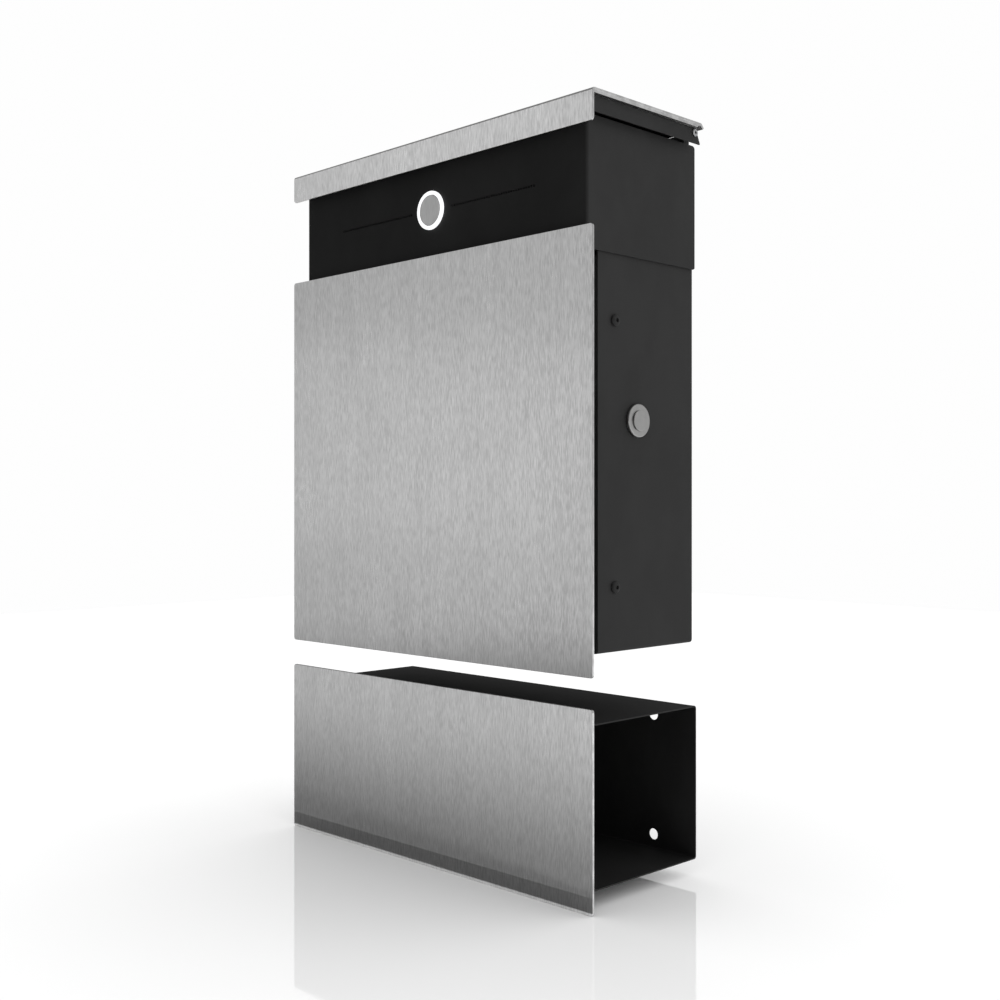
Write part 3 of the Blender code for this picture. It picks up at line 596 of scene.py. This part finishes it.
# %% The folded sheet itself
def folded_sheet(
    path, outline, thickness, world, stations=(), closed=False, side=1.0, rim=0.00025
):
    """Points and faces of a sheet along a path.

    At each point of the path a loop goes round the sheet: along the outer face, over the rim,
    back along the inner face and over the other rim. The outline gives the run's low and high
    end from the path's points and their distances. The rim is a quarter circle at each of the
    loop's four corners, and at the path's two ends the loop shrinks by the same quarter circle.
    """
    path = np.asarray(path, float)
    if not closed:
        length = np.linalg.norm(np.diff(path, axis=0), axis=1).sum()
        stations = np.r_[stations, quarter(rim, 3), length - quarter(rim, 3)]
    spots, distance, length = add_stations(path, stations, closed)
    ahead = np.roll(spots, -1, axis=0) - spots
    back = spots - np.roll(spots, 1, axis=0)
    if not closed:
        ahead[-1] = back[-1]
        back[0] = ahead[0]
    ahead /= np.linalg.norm(ahead, axis=1, keepdims=True)
    back /= np.linalg.norm(back, axis=1, keepdims=True)
    along = ahead + back
    along /= np.linalg.norm(along, axis=1, keepdims=True)
    spread = 1.0 / np.maximum((along * ahead).sum(1, keepdims=True), 0.3)
    inward = side * np.stack([along[:, 1], -along[:, 0]], 1) * spread

    angle = np.linspace(0.0, np.pi / 2, 4)
    near, far = rim * (1 - np.cos(angle)), rim * (1 - np.sin(angle))
    step = np.r_[near, far, near, far]
    depth = np.r_[far, near, thickness - far, thickness - near]
    at_high = np.repeat([False, True, True, False], 4)

    low, high = outline(spots, distance, length)
    low = np.broadcast_to(low, len(spots))[:, None]
    high = np.broadcast_to(high, len(spots))[:, None]
    edge = np.zeros((len(spots), 1))
    if not closed:
        edge = drawn_in(np.minimum(distance, length - distance), rim)[:, None]
    run = np.clip(np.where(at_high, high - step, low + step), low + edge, high - edge)
    depth = np.clip(np.broadcast_to(depth, run.shape), edge, thickness - edge)
    flat = spots[:, None, :] + inward[:, None, :] * depth[:, :, None]
    return capped(world(flat[..., 0], flat[..., 1], run), closed)


def run_x(u, v, w):
    """A path in (Y, Z) that runs along X."""
    return np.stack([w, u, v], -1)


def run_y(u, v, w):
    """A path in (X, Z) that runs along Y."""
    return np.stack([u, w, v], -1)


def run_z(u, v, w):
    """A path in (X, Y) that runs along Z."""
    return np.stack([u, v, w], -1)


# %% [markdown]
# ## The stainless panels
#
# The door and newspaper panels are flat blanks with small round corners. As a folded sheet
# each is one straight path, from its bottom to its top, and the round corners are in the
# outline.


# %% Flat panels
def flat_panel(name, node, radius=0.0025):
    """A flat blank as large as the node, with its four corners rounded by the radius."""
    low, high = corners(node)

    def outline(spots, distance, length):
        drawn = drawn_in(np.minimum(distance, length - distance), radius)
        return low[0] + drawn, high[0] - drawn

    path = [[low[1], low[2]], [low[1], high[2]]]
    stations = np.r_[quarter(radius), high[2] - low[2] - quarter(radius)]
    shape = folded_sheet(path, outline, high[1] - low[1], run_x, stations)
    return settle(name, closed_mesh(name, *shape), node)


door_steel = flat_panel("door_panel_brushed", "door_panel")
news_steel = flat_panel("news_panel_brushed", "news_panel")
print("flat panels:", len(door_steel.data.polygons), "faces each")

# %% [markdown]
# ## The lid
#
# The lid's cover starts at the bottom of its front lip, turns over the front edge and ends in
# a short drip lip at the rear. Its two side edges are hemmed, folded back under themselves,
# so they look twice as thick as the sheet. Under it a black carrier stiffens it. The carrier
# is a shallow channel whose cheeks hang beside the hood and turn on the hinge pins. Its rear
# ends slant, so that it can swing up in front of the wall.

# %% The lid's cover
COVER = corners("lid_cover")
LIP_CORNER = 0.003
low, high = COVER
cover_path = fillet(
    [
        [low[1], low[2]],
        [low[1], high[2]],
        [high[1] - 0.0032, high[2]],
        [high[1], high[2] - 0.0036],
    ],
    [0.0, 0.0028, 0.0025, 0.0],
    steps=8,
)


def cover_outline(spots, distance, length):
    """The full width, drawn in where the front lip's lower corners are round."""
    drawn = drawn_in(distance, LIP_CORNER)
    return COVER[0][0] + drawn, COVER[1][0] - drawn


shape = folded_sheet(cover_path, cover_outline, 0.002, run_x, quarter(LIP_CORNER))
mesh = closed_mesh("lid_cover_brushed", *shape)
hem_low = (low[1] + 0.0015, high[2] - 0.0040)
hem_high = (high[1] - 0.0080, high[2] - 0.0010)
hem_x = low[0] + np.array([0.00015, 0.0037])
for ends in (-hem_x[::-1], hem_x):
    hem = bar((ends[0], *hem_low), (ends[1], *hem_high))
    mesh = carved(mesh, hem, "UNION")
lid_steel = settle("lid_cover_brushed", mesh, "lid_cover")
print("lid cover:", [round(side * 1000, 1) for side in lid_steel.dimensions], "mm")

# %% The lid's carrier
CARRIER = corners("lid_carrier")
PIVOT = centre_of("lid_pin_right")
REAR_SLANT = 0.00695
BENDS_SAVE = 0.00172  # two bends of 2 mm make the path this much shorter than its corners
low, high = CARRIER
carrier_path = fillet(
    [[low[0], low[2]], [low[0], high[2]], [high[0], high[2]], [high[0], low[2]]],
    0.002,
    steps=6,
)


def carrier_outline(spots, distance, length):
    """From the front edge to a rear edge that comes forward as the height grows."""
    low, high = CARRIER
    to_end = np.minimum(distance, length - distance)
    slant = (spots[:, 1] - low[2]) / (high[2] - low[2]) * REAR_SLANT
    return low[1] + drawn_in(to_end, 0.002), high[1] - slant - drawn_in(to_end, 0.001)


rise = high[2] - low[2]
length = 2 * rise + high[0] - low[0]
steps = np.r_[quarter(0.002), 0.004, 0.008]
stations = np.r_[steps, length - BENDS_SAVE - steps]
shape = folded_sheet(carrier_path, carrier_outline, 0.0012, run_y, stations)
pin_hole = prism((-0.2, PIVOT[1], PIVOT[2]), (1, 0, 0), 0.0019, 0.4)
mesh = carved(closed_mesh("lid_carrier_folded", *shape), pin_hole)
settle("lid_carrier_folded", mesh, "lid_carrier")
print("carrier:", len(mesh.polygons), "faces")

# %% [markdown]
# ## The hood
#
# The hood is the black letter mouth between the door and the lid. One strip is folded round
# its two front corners. Its walls carry an ear each for the lid's hinge, its front holds the
# bell push and two rows of sound holes, and flanges turn back from its top and bottom edge.
# The ears and the rounded rear corners are in the outline, and the holes are drilled after
# the fold, as one tool with all the drills.

# %% The hood's sheet
HOOD = corners("hood_shell")
BELL = centre_of("bell_ring")
casing_low, casing_high = corners("body_casing")
low, high = HOOD
HOOD_TOP = -casing_low[2] - 0.0001
EAR = high[2] - PIVOT[2]


def hood_outline(spots, distance, length):
    """The wall's height, with a round ear about the pin and a round rear corner."""
    low, high = HOOD
    to_end = np.minimum(distance, length - distance)
    arm = np.clip(np.abs(spots[:, 1] - PIVOT[1]) / EAR, 0.0, 1.0)
    ear = np.where(arm < 1.0, PIVOT[2] + EAR * np.sqrt(1.0 - arm**2) - HOOD_TOP, 0.0)
    return low[2] + drawn_in(to_end, 0.002), HOOD_TOP + ear - drawn_in(to_end, 0.003)


hood_path = fillet(
    [[low[0], high[1]], [low[0], low[1]], [high[0], low[1]], [high[0], high[1]]],
    0.0025,
    steps=8,
)
length = np.linalg.norm(np.diff(hood_path, axis=0), axis=1).sum()
ear_steps = high[1] - PIVOT[1] - EAR * np.cos(np.linspace(0.0, np.pi, 17))
ear_steps = np.r_[ear_steps[0] - 0.00002, ear_steps, ear_steps[-1] + 0.00002]
steps = np.r_[ear_steps, quarter(0.002), quarter(0.003)]
shape = folded_sheet(
    hood_path, hood_outline, 0.0015, run_z, np.r_[steps, length - steps], side=-1.0
)
mesh = closed_mesh("hood_folded", *shape)


# %% The hood's flanges and holes
def flange(level, reach):
    """A strip behind the hood's front, from wall to wall."""
    path = [[HOOD[0][1] + 0.0005, level], [HOOD[0][1] + reach, level]]

    def outline(spots, distance, length):
        return HOOD[0][0] + 0.0008, HOOD[1][0] - 0.0008

    return folded_sheet(path, outline, 0.0015, run_x, rim=0.0002)


mesh = carved(mesh, flange(HOOD_TOP - 0.0002, 0.014), "UNION")
mesh = carved(mesh, flange(HOOD[0][2] + 0.0017, 0.0104), "UNION")
BUFFER_X, BUFFER_Y = 0.150, -0.128
BACKWARD = (0, 1, 0)
places = np.linspace(0.0264, 0.1219, 35)
drill_y = HOOD[0][1] - 0.002
drills = [
    prism((x, drill_y, BELL[2]), BACKWARD, 0.0011, 0.006, 20) for x in np.r_[-places, places]
]
drills.append(prism((0, drill_y, BELL[2]), BACKWARD, 0.0152, 0.006, 96))
drills.append(pin_hole)
for x in (-BUFFER_X, BUFFER_X):
    drills.append(prism((x, BUFFER_Y, HOOD_TOP - 0.004), (0, 0, 1), 0.0023, 0.008, 24))
mesh = carved(mesh, together(drills))
settle("hood_folded", mesh, "hood_shell", soft=0.00012)
print("hood:", len(mesh.polygons), "faces,", 2 * len(places), "sound holes")

# %% [markdown]
# ## The newspaper sleeve
#
# The sleeve is a flat tube, folded four times and closed at the back, where it is screwed to
# the wall. The path is a closed rectangle with round corners, so the sheet has no ends, and
# only its two open mouths have rims.

# %% The sleeve
SLEEVE = corners("news_sleeve")
low, high = SLEEVE


def sleeve_outline(spots, distance, length):
    """The full width all the way round."""
    return SLEEVE[0][0], SLEEVE[1][0]


sleeve_path = fillet(
    [[low[1], low[2]], [low[1], high[2]], [high[1], high[2]], [high[1], low[2]]],
    0.0025,
    closed=True,
    steps=8,
)
shape = folded_sheet(sleeve_path, sleeve_outline, 0.0012, run_x, closed=True)
mesh = closed_mesh("news_sleeve_folded", *shape)
holes = [
    prism((x, -0.01, level), BACKWARD, 0.00475, 0.02, 48)
    for x in (-0.1348, 0.1348)
    for level in (low[2] + 0.0125, high[2] - 0.0125)
]
mesh = carved(mesh, together(holes))
sleeve = settle("news_sleeve_folded", mesh, "news_sleeve", soft=0.00012)
print("sleeve:", [round(side * 1000, 1) for side in sleeve.dimensions], "mm")

# %% [markdown]
# ## Turned fittings
#
# The bell push, the lock, the screws, pins, rivets and buffers all come from a lathe or a
# round mould. Each is a profile of radius against height, with its corners rounded, carried
# round an axis. A ring's profile is a closed loop beside the axis, and a solid's profile
# starts and ends on it.


# %% A lathe
def lathe(profile, foot, axis, ring=False, sides=72):
    """Points and faces of a turned piece.

    A row of the profile is a radius, a height along the axis and the corner's own radius.
    The point at an angle is foot + height * axis + radius * (cos * across + sin * upward).
    """
    profile = np.array(profile, float)
    path = fillet(profile[:, :2], profile[:, 2], closed=ring, steps=4)
    axis = np.array(axis, float)
    circle = spokes(axis, sides)
    points = np.array(foot) + path[:, 1, None, None] * axis + path[:, 0, None, None] * circle
    if not ring:
        return capped(points)
    return points.reshape(-1, 3), grid_faces(len(path), sides, True)


def turned(name, node, profile, foot, axis, ring=False, material=None, holes=(), sides=72):
    """A lathe piece that stands for a node, with holes cut in it."""
    mesh = closed_mesh(name, *lathe(profile, foot, axis, ring, sides))
    for hole in holes:
        mesh = carved(mesh, hole)
    return settle(name, mesh, node, material)


# %% [markdown]
# ## The bell push
#
# A ring of milky plastic glows round a brushed cap. The cap sits a little below the ring's
# front and moves in by itself when pressed. Behind the hood the push has a barrel, a gasket
# and a nut.

# %% Bell push
FRONT = (0, -1, 0)
GAP = 0.0003  # between a head and the face that it stands on
seat = (0.0, HOOD[0][1], BELL[2])
ring_profile = [
    (0.01345, 0.0024, 0.0003),
    (0.0165, 0.0024, 0.0010),
    (0.0165, GAP, 0.0002),
    (0.01345, GAP, 0.0001),
]
cap_profile = [
    (0.0, 0.0021, 0),
    (0.01315, 0.0021, 0.0004),
    (0.01315, 0.0005, 0.0002),
    (0.0030, 0.0005, 0.0003),
    (0.0030, -0.0135, 0.0003),
    (0.0, -0.0135, 0),
]
barrel_profile = [
    (0.0135, 0.0, 0.0001),
    (0.0149, 0.0, 0.0001),
    (0.0149, -0.0145, 0.0004),
    (0.0034, -0.0145, 0.0002),
    (0.0034, -0.013, 0.0002),
    (0.0135, -0.013, 0.0003),
]
gasket_profile = [
    (0.0152, -0.0031, 0.0002),
    (0.019, -0.0031, 0.0003),
    (0.019, -0.0018, 0.0003),
    (0.0152, -0.0018, 0.0002),
]
turned("bell_ring_lit", "bell_ring", ring_profile, seat, FRONT, True, sides=128)
bell_cap = turned(
    "bell_cap_brushed", "bell_cap", cap_profile, seat, FRONT, False, button_steel, sides=128
)
turned("bell_barrel_turned", "bell_barrel", barrel_profile, seat, FRONT, True)
turned("bell_gasket_moulded", "bell_gasket", gasket_profile, seat, FRONT, True)

# %% [markdown]
# ## The lock
#
# The lock's head stands proud of the right wall. A round dust cover hangs over its keyway and
# swings aside on a small stub near its top. The rings left by the lathe run round the head,
# and they catch the light as a bow tie.

# %% Lock
RIGHT = (1, 0, 0)
wall = casing_high[0]
lock_foot = np.array([wall, *lock_axis[1:]])
stub_foot = lock_foot + (0, 0, 0.0069)
head_profile = [
    (0.0052, 0.0029, 0.0002),
    (0.0133, 0.0029, 0.0011),
    (0.0133, GAP, 0.0002),
    (0.0095, GAP, 0.0001),
    (0.0095, -0.023, 0.0004),
    (0.0052, -0.023, 0.0002),
]
stub_hole = prism(stub_foot + (0.0009, 0, 0), RIGHT, 0.0012, 0.006)
turned(
    "lock_head", "lock_housing", head_profile, lock_foot, RIGHT, True, holes=[stub_hole], sides=128
)
disc_profile = [
    (0.0, 0.0043, 0),
    (0.00825, 0.0043, 0.0004),
    (0.00825, 0.0032, 0.0001),
    (0.0, 0.0032, 0),
]
mesh = closed_mesh("lock_disc", *lathe(disc_profile, lock_foot, RIGHT, sides=128))
mesh = carved(mesh, prism(stub_foot + (0.0014, 0, 0), RIGHT, 0.00085, 0.002), "UNION")
settle("lock_disc", mesh, "lock_cover")
plug_profile = [
    (0.0, 0.0026, 0),
    (0.0048, 0.0026, 0.0003),
    (0.0048, -0.0248, 0.0003),
    (0.0, -0.0248, 0),
]
mesh = closed_mesh("lock_key_plug", *lathe(plug_profile, lock_foot, RIGHT))
print("lock head stands", round((0.0029 - GAP) * 1000, 1), "mm proud of the wall")


# %% The plug's keyway and its screw hole
key_half = np.array([0.004, 0.00065, 0.00325])
key_middle = lock_foot + (0.0026, 0, 0)
mesh = carved(mesh, bar(key_middle - key_half, key_middle + key_half))
mesh = carved(mesh, prism(lock_foot + (-0.035, 0, 0), RIGHT, 0.0023, 0.0182, 24))
settle("lock_key_plug", mesh, "lock_plug")
cam_low, cam_high = corners("lock_cam")
screw_foot = (cam_low[0] - GAP, *lock_axis[1:])
cam_screw_profile = [
    (0.0, 0.0022, 0),
    (0.0038, 0.0022, 0.0008),
    (0.0038, 0.0, 0.0002),
    (0.0019, 0.0, 0.0001),
    (0.0019, -0.0085, 0.0003),
    (0.0, -0.0085, 0),
]
cross_low = (cam_low[0] - 0.004, *lock_axis[1:])
cross_high = (cam_low[0] - 0.0013, *lock_axis[1:])
cross = [
    bar(np.subtract(cross_low, (0, a, b)), np.add(cross_high, (0, a, b)))
    for a, b in ((0.0004, 0.0022), (0.0022, 0.0004))
]
turned(
    "cam_cross_screw", "cam_screw", cam_screw_profile, screw_foot, (-1, 0, 0), holes=cross, sides=48
)

# %% [markdown]
# ## Screws, pins, rivets and buffers
#
# Four button head screws with hex sockets hold the rails. Their heads are black, like the
# walls. The lid turns on two hollow pins with grey spacers and lands on rubber buffers. The
# door's hinges have headed pins and blind rivets, which show when the door is open.

# %% Side screws
SIDES = {"left": -1.0, "right": 1.0}
HEIGHTS = ("upper", "lower")
SCREW_Y = centre_of("side_screw_right_upper")[1]
dome = [
    (0.00475 * math.sin(math.radians(a)), 0.0005 + 0.0022 * math.cos(math.radians(a)), 0)
    for a in range(24, 91, 11)
]
button_profile = [
    (0.0, dome[0][1], 0),
    *dome,
    (0.00475, 0.0, 0.0002),
    (0.0024, 0.0, 0.0001),
    (0.0024, -0.0095, 0.0004),
    (0.0, -0.0095, 0),
]
for side, sign in SIDES.items():
    for height in HEIGHTS:
        node = f"side_screw_{side}_{height}"
        foot = np.array([sign * (wall + GAP), SCREW_Y, centre_of(node)[2]])
        out = (sign, 0, 0)
        socket = prism(foot + np.array(out) * 0.0010, out, 0.00173, 0.005, 6)
        turned(f"button_screw_{side}_{height}", node, button_profile, foot, out, holes=[socket])
print("button screws:", len(SIDES) * len(HEIGHTS))

# %% Lid pins, spacers and buffers
flare = 0.0101  # how far behind the cheek's outer face the pin's flared end begins
pin_profile = [
    (0.0011, 0.0015, 0.0002),
    (0.0031, 0.0015, 0.0006),
    (0.0031, GAP, 0.0001),
    (0.0016, GAP, 0.0001),
    (0.0016, -flare, 0.0001),
    (0.0026, -flare, 0.0001),
    (0.0026, -flare - 0.0015, 0.0003),
    (0.0011, -flare - 0.0015, 0.0002),
]
spacer_profile = [
    (0.0019, 0.0063, 0.0002),
    (0.0031, 0.0063, 0.0003),
    (0.0031, 0.0, 0.0003),
    (0.0019, 0.0, 0.0002),
]
low, high = corners("lid_buffer_right")
BUFFER_BASE = low[2] + 0.0035
rise = high[2] - BUFFER_BASE
buffer_profile = [
    (0.0, rise, 0),
    (0.0045, rise, 0.0016),
    (0.0045, GAP, 0.0003),
    (0.0019, GAP, 0.0001),
    (0.0019, -0.0035, 0.0006),
    (0.0, -0.0035, 0),
]
for side, sign in SIDES.items():
    out = (sign, 0, 0)
    foot = (sign * CARRIER[1][0], PIVOT[1], PIVOT[2])
    turned(f"lid_pin_turned_{side}", f"lid_pin_{side}", pin_profile, foot, out, True, sides=48)
    low, high = corners(f"lid_spacer_{side}")
    foot = (min(low[0], high[0], key=abs), PIVOT[1], PIVOT[2])
    node = f"lid_spacer_{side}"
    turned(f"lid_spacer_moulded_{side}", node, spacer_profile, foot, out, True, sides=48)
    foot = (sign * BUFFER_X, BUFFER_Y, BUFFER_BASE)
    node = f"lid_buffer_{side}"
    turned(f"lid_buffer_moulded_{side}", node, buffer_profile, foot, (0, 0, 1), sides=48)

# %% Door hinge pins, rivets, landing buffers and the cable's bush
rivet_profile = [
    (0.0, 0.0013, 0),
    (0.0019, 0.0012, 0.0008),
    (0.0031, 0.0004, 0.0001),
    (0.0031, 0.0, 0.0001),
    (0.0017, 0.0, 0.0001),
    (0.0017, -0.0047, 0.0001),
    (0.0025, -0.0047, 0.0003),
    (0.0022, -0.0062, 0.0003),
    (0.0, -0.0062, 0),
]
hinge_profile = [
    (0.0, 0.0014, 0),
    (0.0028, 0.0014, 0.0005),
    (0.0028, 0.0, 0.0002),
    (0.0015, 0.0, 0.0001),
    (0.0015, -0.0065, 0.0004),
    (0.0, -0.0065, 0),
]
puck_profile = [(0.0, 0.001, 0), (0.004, 0.001, 0.0004), (0.004, 0.0, 0.0001), (0.0, 0.0, 0)]
for height in HEIGHTS:
    node = f"hinge_pin_{height}"
    low, high = corners(node)
    foot = (*centre_of(node)[:2], high[2] - 0.0014)
    turned(f"hinge_pin_turned_{height}", node, hinge_profile, foot, (0, 0, 1), sides=48)
    for row in ("top", "bottom"):
        node = f"hinge_rivet_{height}_{row}"
        low, high = corners(node)
        foot = centre_of(node)
        foot[1] = low[1] + 0.0013
        turned(f"rivet_{height}_{row}", node, rivet_profile, foot, FRONT, sides=48)
    node = f"door_buffer_{height}"
    low, high = corners(node)
    foot = centre_of(node)
    foot[1] = high[1]
    turned(f"door_buffer_moulded_{height}", node, puck_profile, foot, FRONT, sides=48)
bush_profile = [
    (0.0032, 0.0042, 0.0008),
    (0.0090, 0.0042, 0.0008),
    (0.0090, 0.0018, 0.0004),
    (0.0058, 0.0018, 0.0002),
    (0.0058, 0.0004, 0.0002),
    (0.0032, 0.0004, 0.0002),
]
foot = centre_of("cable_grommet") * (1, 0, 1)
turned("cable_bush", "cable_grommet", bush_profile, foot, FRONT, True, sides=64)

# %% [markdown]
# ## Sheet edges of the remaining parts
#
# The casing, the door's liner, the rails, hinges and brackets already have the right shape in
# the frame. Their meshes are loose triangles with knife edges, so each is copied, its points
# are merged and flat neighbours joined, and a small Bevel rounds what is left.


# %% Softened copies
def softened(node, width):
    """A copy of a node's mesh, merged, with its sharp edges rounded by this width."""
    mesh = joined_flats(frame["nodes"][node].data.copy(), 5e-6)
    return settle(node + "_soft", mesh, node, soft=width)


SHEETS = ["body_casing", "door_liner", "left_rail", "right_rail", "bell_guard"]
PLATES = ["strike_hook", "lock_cam", "bell_switch", "bell_nut", "lock_nut"]
PLATES += [f"hinge_{half}_{height}" for half in ("bracket", "leaf") for height in HEIGHTS]
PLATES += [f"side_nut_{side}_{height}" for side in SIDES for height in HEIGHTS]
TAPES = [node for node in frame["nodes"] if "_tape_" in node]
for node in SHEETS:
    softened(node, 0.00018)
for node in PLATES + TAPES:
    softened(node, 0.00025)
print("softened copies:", len(SHEETS + PLATES + TAPES))

# %% [markdown]
# ## Studio
#
# The mailbox stands on a pale floor in a plain white room. Brushed steel shows what it
# reflects, so its even tone with a soft peak at mid height comes from softboxes that only the
# steel receives. Black powder coat shows the room, brighter on the right than on the left.
# The newspaper panel grows darker toward its foot, where it shows the floor close in front.
# A stack of boxes that face up, each starting a little farther away, makes that fade.


# %% Floor
def level_sheet(name, low, high, level):
    """A rectangle that faces up, between two corners in X and Y."""
    places = [(*low, level), (high[0], low[1], level), (*high, level), (low[0], high[1], level)]
    mesh = bpy.data.meshes.new(name)
    mesh.from_pydata(places, [], [(0, 1, 2, 3)])
    return put(name, mesh)


def studio_floor(level, half=2.6):
    """A large square under the object, whose shine fades out far from it."""
    floor = level_sheet("studio_floor", (-half, -half), (half, half), level)
    material, board, shader = finish("pale_floor", Coat_Roughness=0.04, Coat_IOR=1.38)
    shader.inputs["Specular IOR Level"].default_value = 0.0
    away = board.distance(board.place((1.0, 1.0, 0.0)))
    cloud = board.noise((0.5, 0.5, 0.5), detail=2.0)
    feed(
        board,
        shader,
        Base_Color=board.tint(cloud, grey(0.925), grey(0.935)),
        Coat_Weight=board.span(away, 0.9, 2.2, 1.0, 0.0),
    )
    floor.data.materials.append(material)
    return floor


floor = studio_floor(cad_box[0][2])


# %% Lights
def link_light(thing, receivers, blockers=()):
    """Only the receivers see the lamp, and only the blockers, if any are named, shade it."""
    lit = bpy.data.collections.new(thing.name + "_receivers")
    for receiver in receivers:
        lit.objects.link(receiver)
    thing.light_linking.receiver_collection = lit
    if blockers:
        shading = bpy.data.collections.new(thing.name + "_blockers")
        for blocker in blockers:
            shading.objects.link(blocker)
        thing.light_linking.blocker_collection = shading


def softbox(name, place, aim, width, height, power, receivers, blockers=()):
    """A rectangular lamp at a place, turned to its aim."""
    lamp = bpy.data.lights.new(name, "AREA")
    lamp.shape = "RECTANGLE"
    lamp.size = width
    lamp.size_y = height
    lamp.energy = power
    thing = put(name, lamp)
    thing.location = place
    aim = Vector(aim) - Vector(place)
    thing.rotation_euler = aim.to_track_quat("-Z", "Y").to_euler()
    link_light(thing, receivers, blockers)
    return thing


LOOK = (-0.713, -0.701)  # the way from the panels to the boxes, in X and Y
REACH = 1.35
PANEL_Y = -0.14


def left_box(name, height, tall, wide, level, receivers, aside=0.2):
    """A softbox in front on the left, where the panels show it to someone on the right."""
    aside = 0.7 * aside
    place = (REACH * LOOK[0] + aside, REACH * LOOK[1] + PANEL_Y - aside, height)
    power = level * math.pi * tall * wide
    softbox(name, place, (0, PANEL_Y, height), wide, tall, power, receivers)


left_box("door_lamp_wide", 0.38, 1.6, 1.7, 0.66, [door_steel], 0.3)
left_box("door_lamp_middle", 0.03, 0.4, 1.5, 0.20, [door_steel])
left_box("lid_lamp", 0.55, 1.4, 1.4, 0.95, [lid_steel])
TURN = math.radians(8)
NEAR_EDGES = (0.004, 0.071, 0.133, 0.188, 0.253, 0.328, 0.399, 0.466)
wide, deep = 2.8, 1.6
for step, near in enumerate(NEAR_EDGES):
    across = -0.205 - near - deep / 2 * math.cos(TURN)
    place = (-0.7 + deep / 2 * math.sin(TURN), across, -0.386 + 0.001 * step)
    power = math.pi * wide * deep * 0.085
    above = (*place[:2], 1.0)
    lamp = softbox(f"news_lamp_{step}", place, above, wide, deep, power, [news_steel])
    lamp.rotation_euler = (math.pi, 0, TURN)
left_box("cap_lamp", 0.35, 0.9, 0.9, 1.85, [bell_cap])

# %% Lights for the floor alone
low_parts = [news_steel, sleeve]
wide, tall, far, middle = 8.0, 3.2, 4, 1.2
for turn in range(4):
    angle = math.radians(45 + 90 * turn)
    place = (far * math.cos(angle), far * math.sin(angle), middle)
    power = math.pi * wide * tall
    name = f"wall_lamp_{turn}"
    softbox(name, place, (0, 0, middle), wide, tall, power, [floor], low_parts)
sun = bpy.data.lights.new("floor_sun", "SUN")
sun.energy = 1.2
sun.angle = math.radians(110)
link_light(put("floor_sun", sun), [floor], low_parts)


# %% A grey card
def grey_card(level):
    """A matt card that lies in front on the left and is seen by the object, not the camera.

    From below it is clear, so that the floor's light passes.
    """
    card = level_sheet("grey_card", (-3.5, -4.0), (0.6, -0.1435), level)
    material, board, shader = finish("grey_card", Roughness=0.9)
    nap = board.noise((0.004, 0.004, 0.004), detail=2.0)
    under = board.node("ShaderNodeNewGeometry", output="Backfacing")
    feed(
        board,
        shader,
        Base_Color=board.tint(nap, grey(0.50), grey(0.60)),
        Alpha=1 - under,
    )
    card.data.materials.append(material)
    card.visible_camera = False
    card.visible_shadow = False


grey_card(cad_box[0][2] + 0.002)

# %% Room
def studio_world():
    """White to the camera. To the rest, dim in front on the left and pale on the right."""
    world = bpy.data.worlds.new("studio")
    world.use_nodes = True
    bpy.context.scene.world = world
    board = Board(world.node_tree)
    background = world.node_tree.nodes["Background"]
    way = board.node("ShaderNodeTexCoord", output="Generated")

    def toward(direction, start, end, low, high):
        settings = {"operation": "DOT_PRODUCT"}
        facing = board.node("ShaderNodeVectorMath", settings, [way, direction], output="Value")
        return board.span(facing, start, end, low, high)

    room = toward((0.80, 0.60, 0.0), -0.1, 0.95, 0.07, 0.68)
    room = room + toward((0.0, 0.0, 1.0), 0.1, 0.9, 0.0, 0.25)
    room = room + toward((-1.0, 0.0, 0.0), 0.75, 1.0, 0.0, 0.25)
    seen = board.node("ShaderNodeLightPath", output="Is Camera Ray")
    tone = seen * 0.99 + (1 - seen) * room
    world.node_tree.links.new(tone.socket, background.inputs["Strength"])
    background.inputs["Color"].default_value = (*grey(1.0), 1.0)


studio_world()
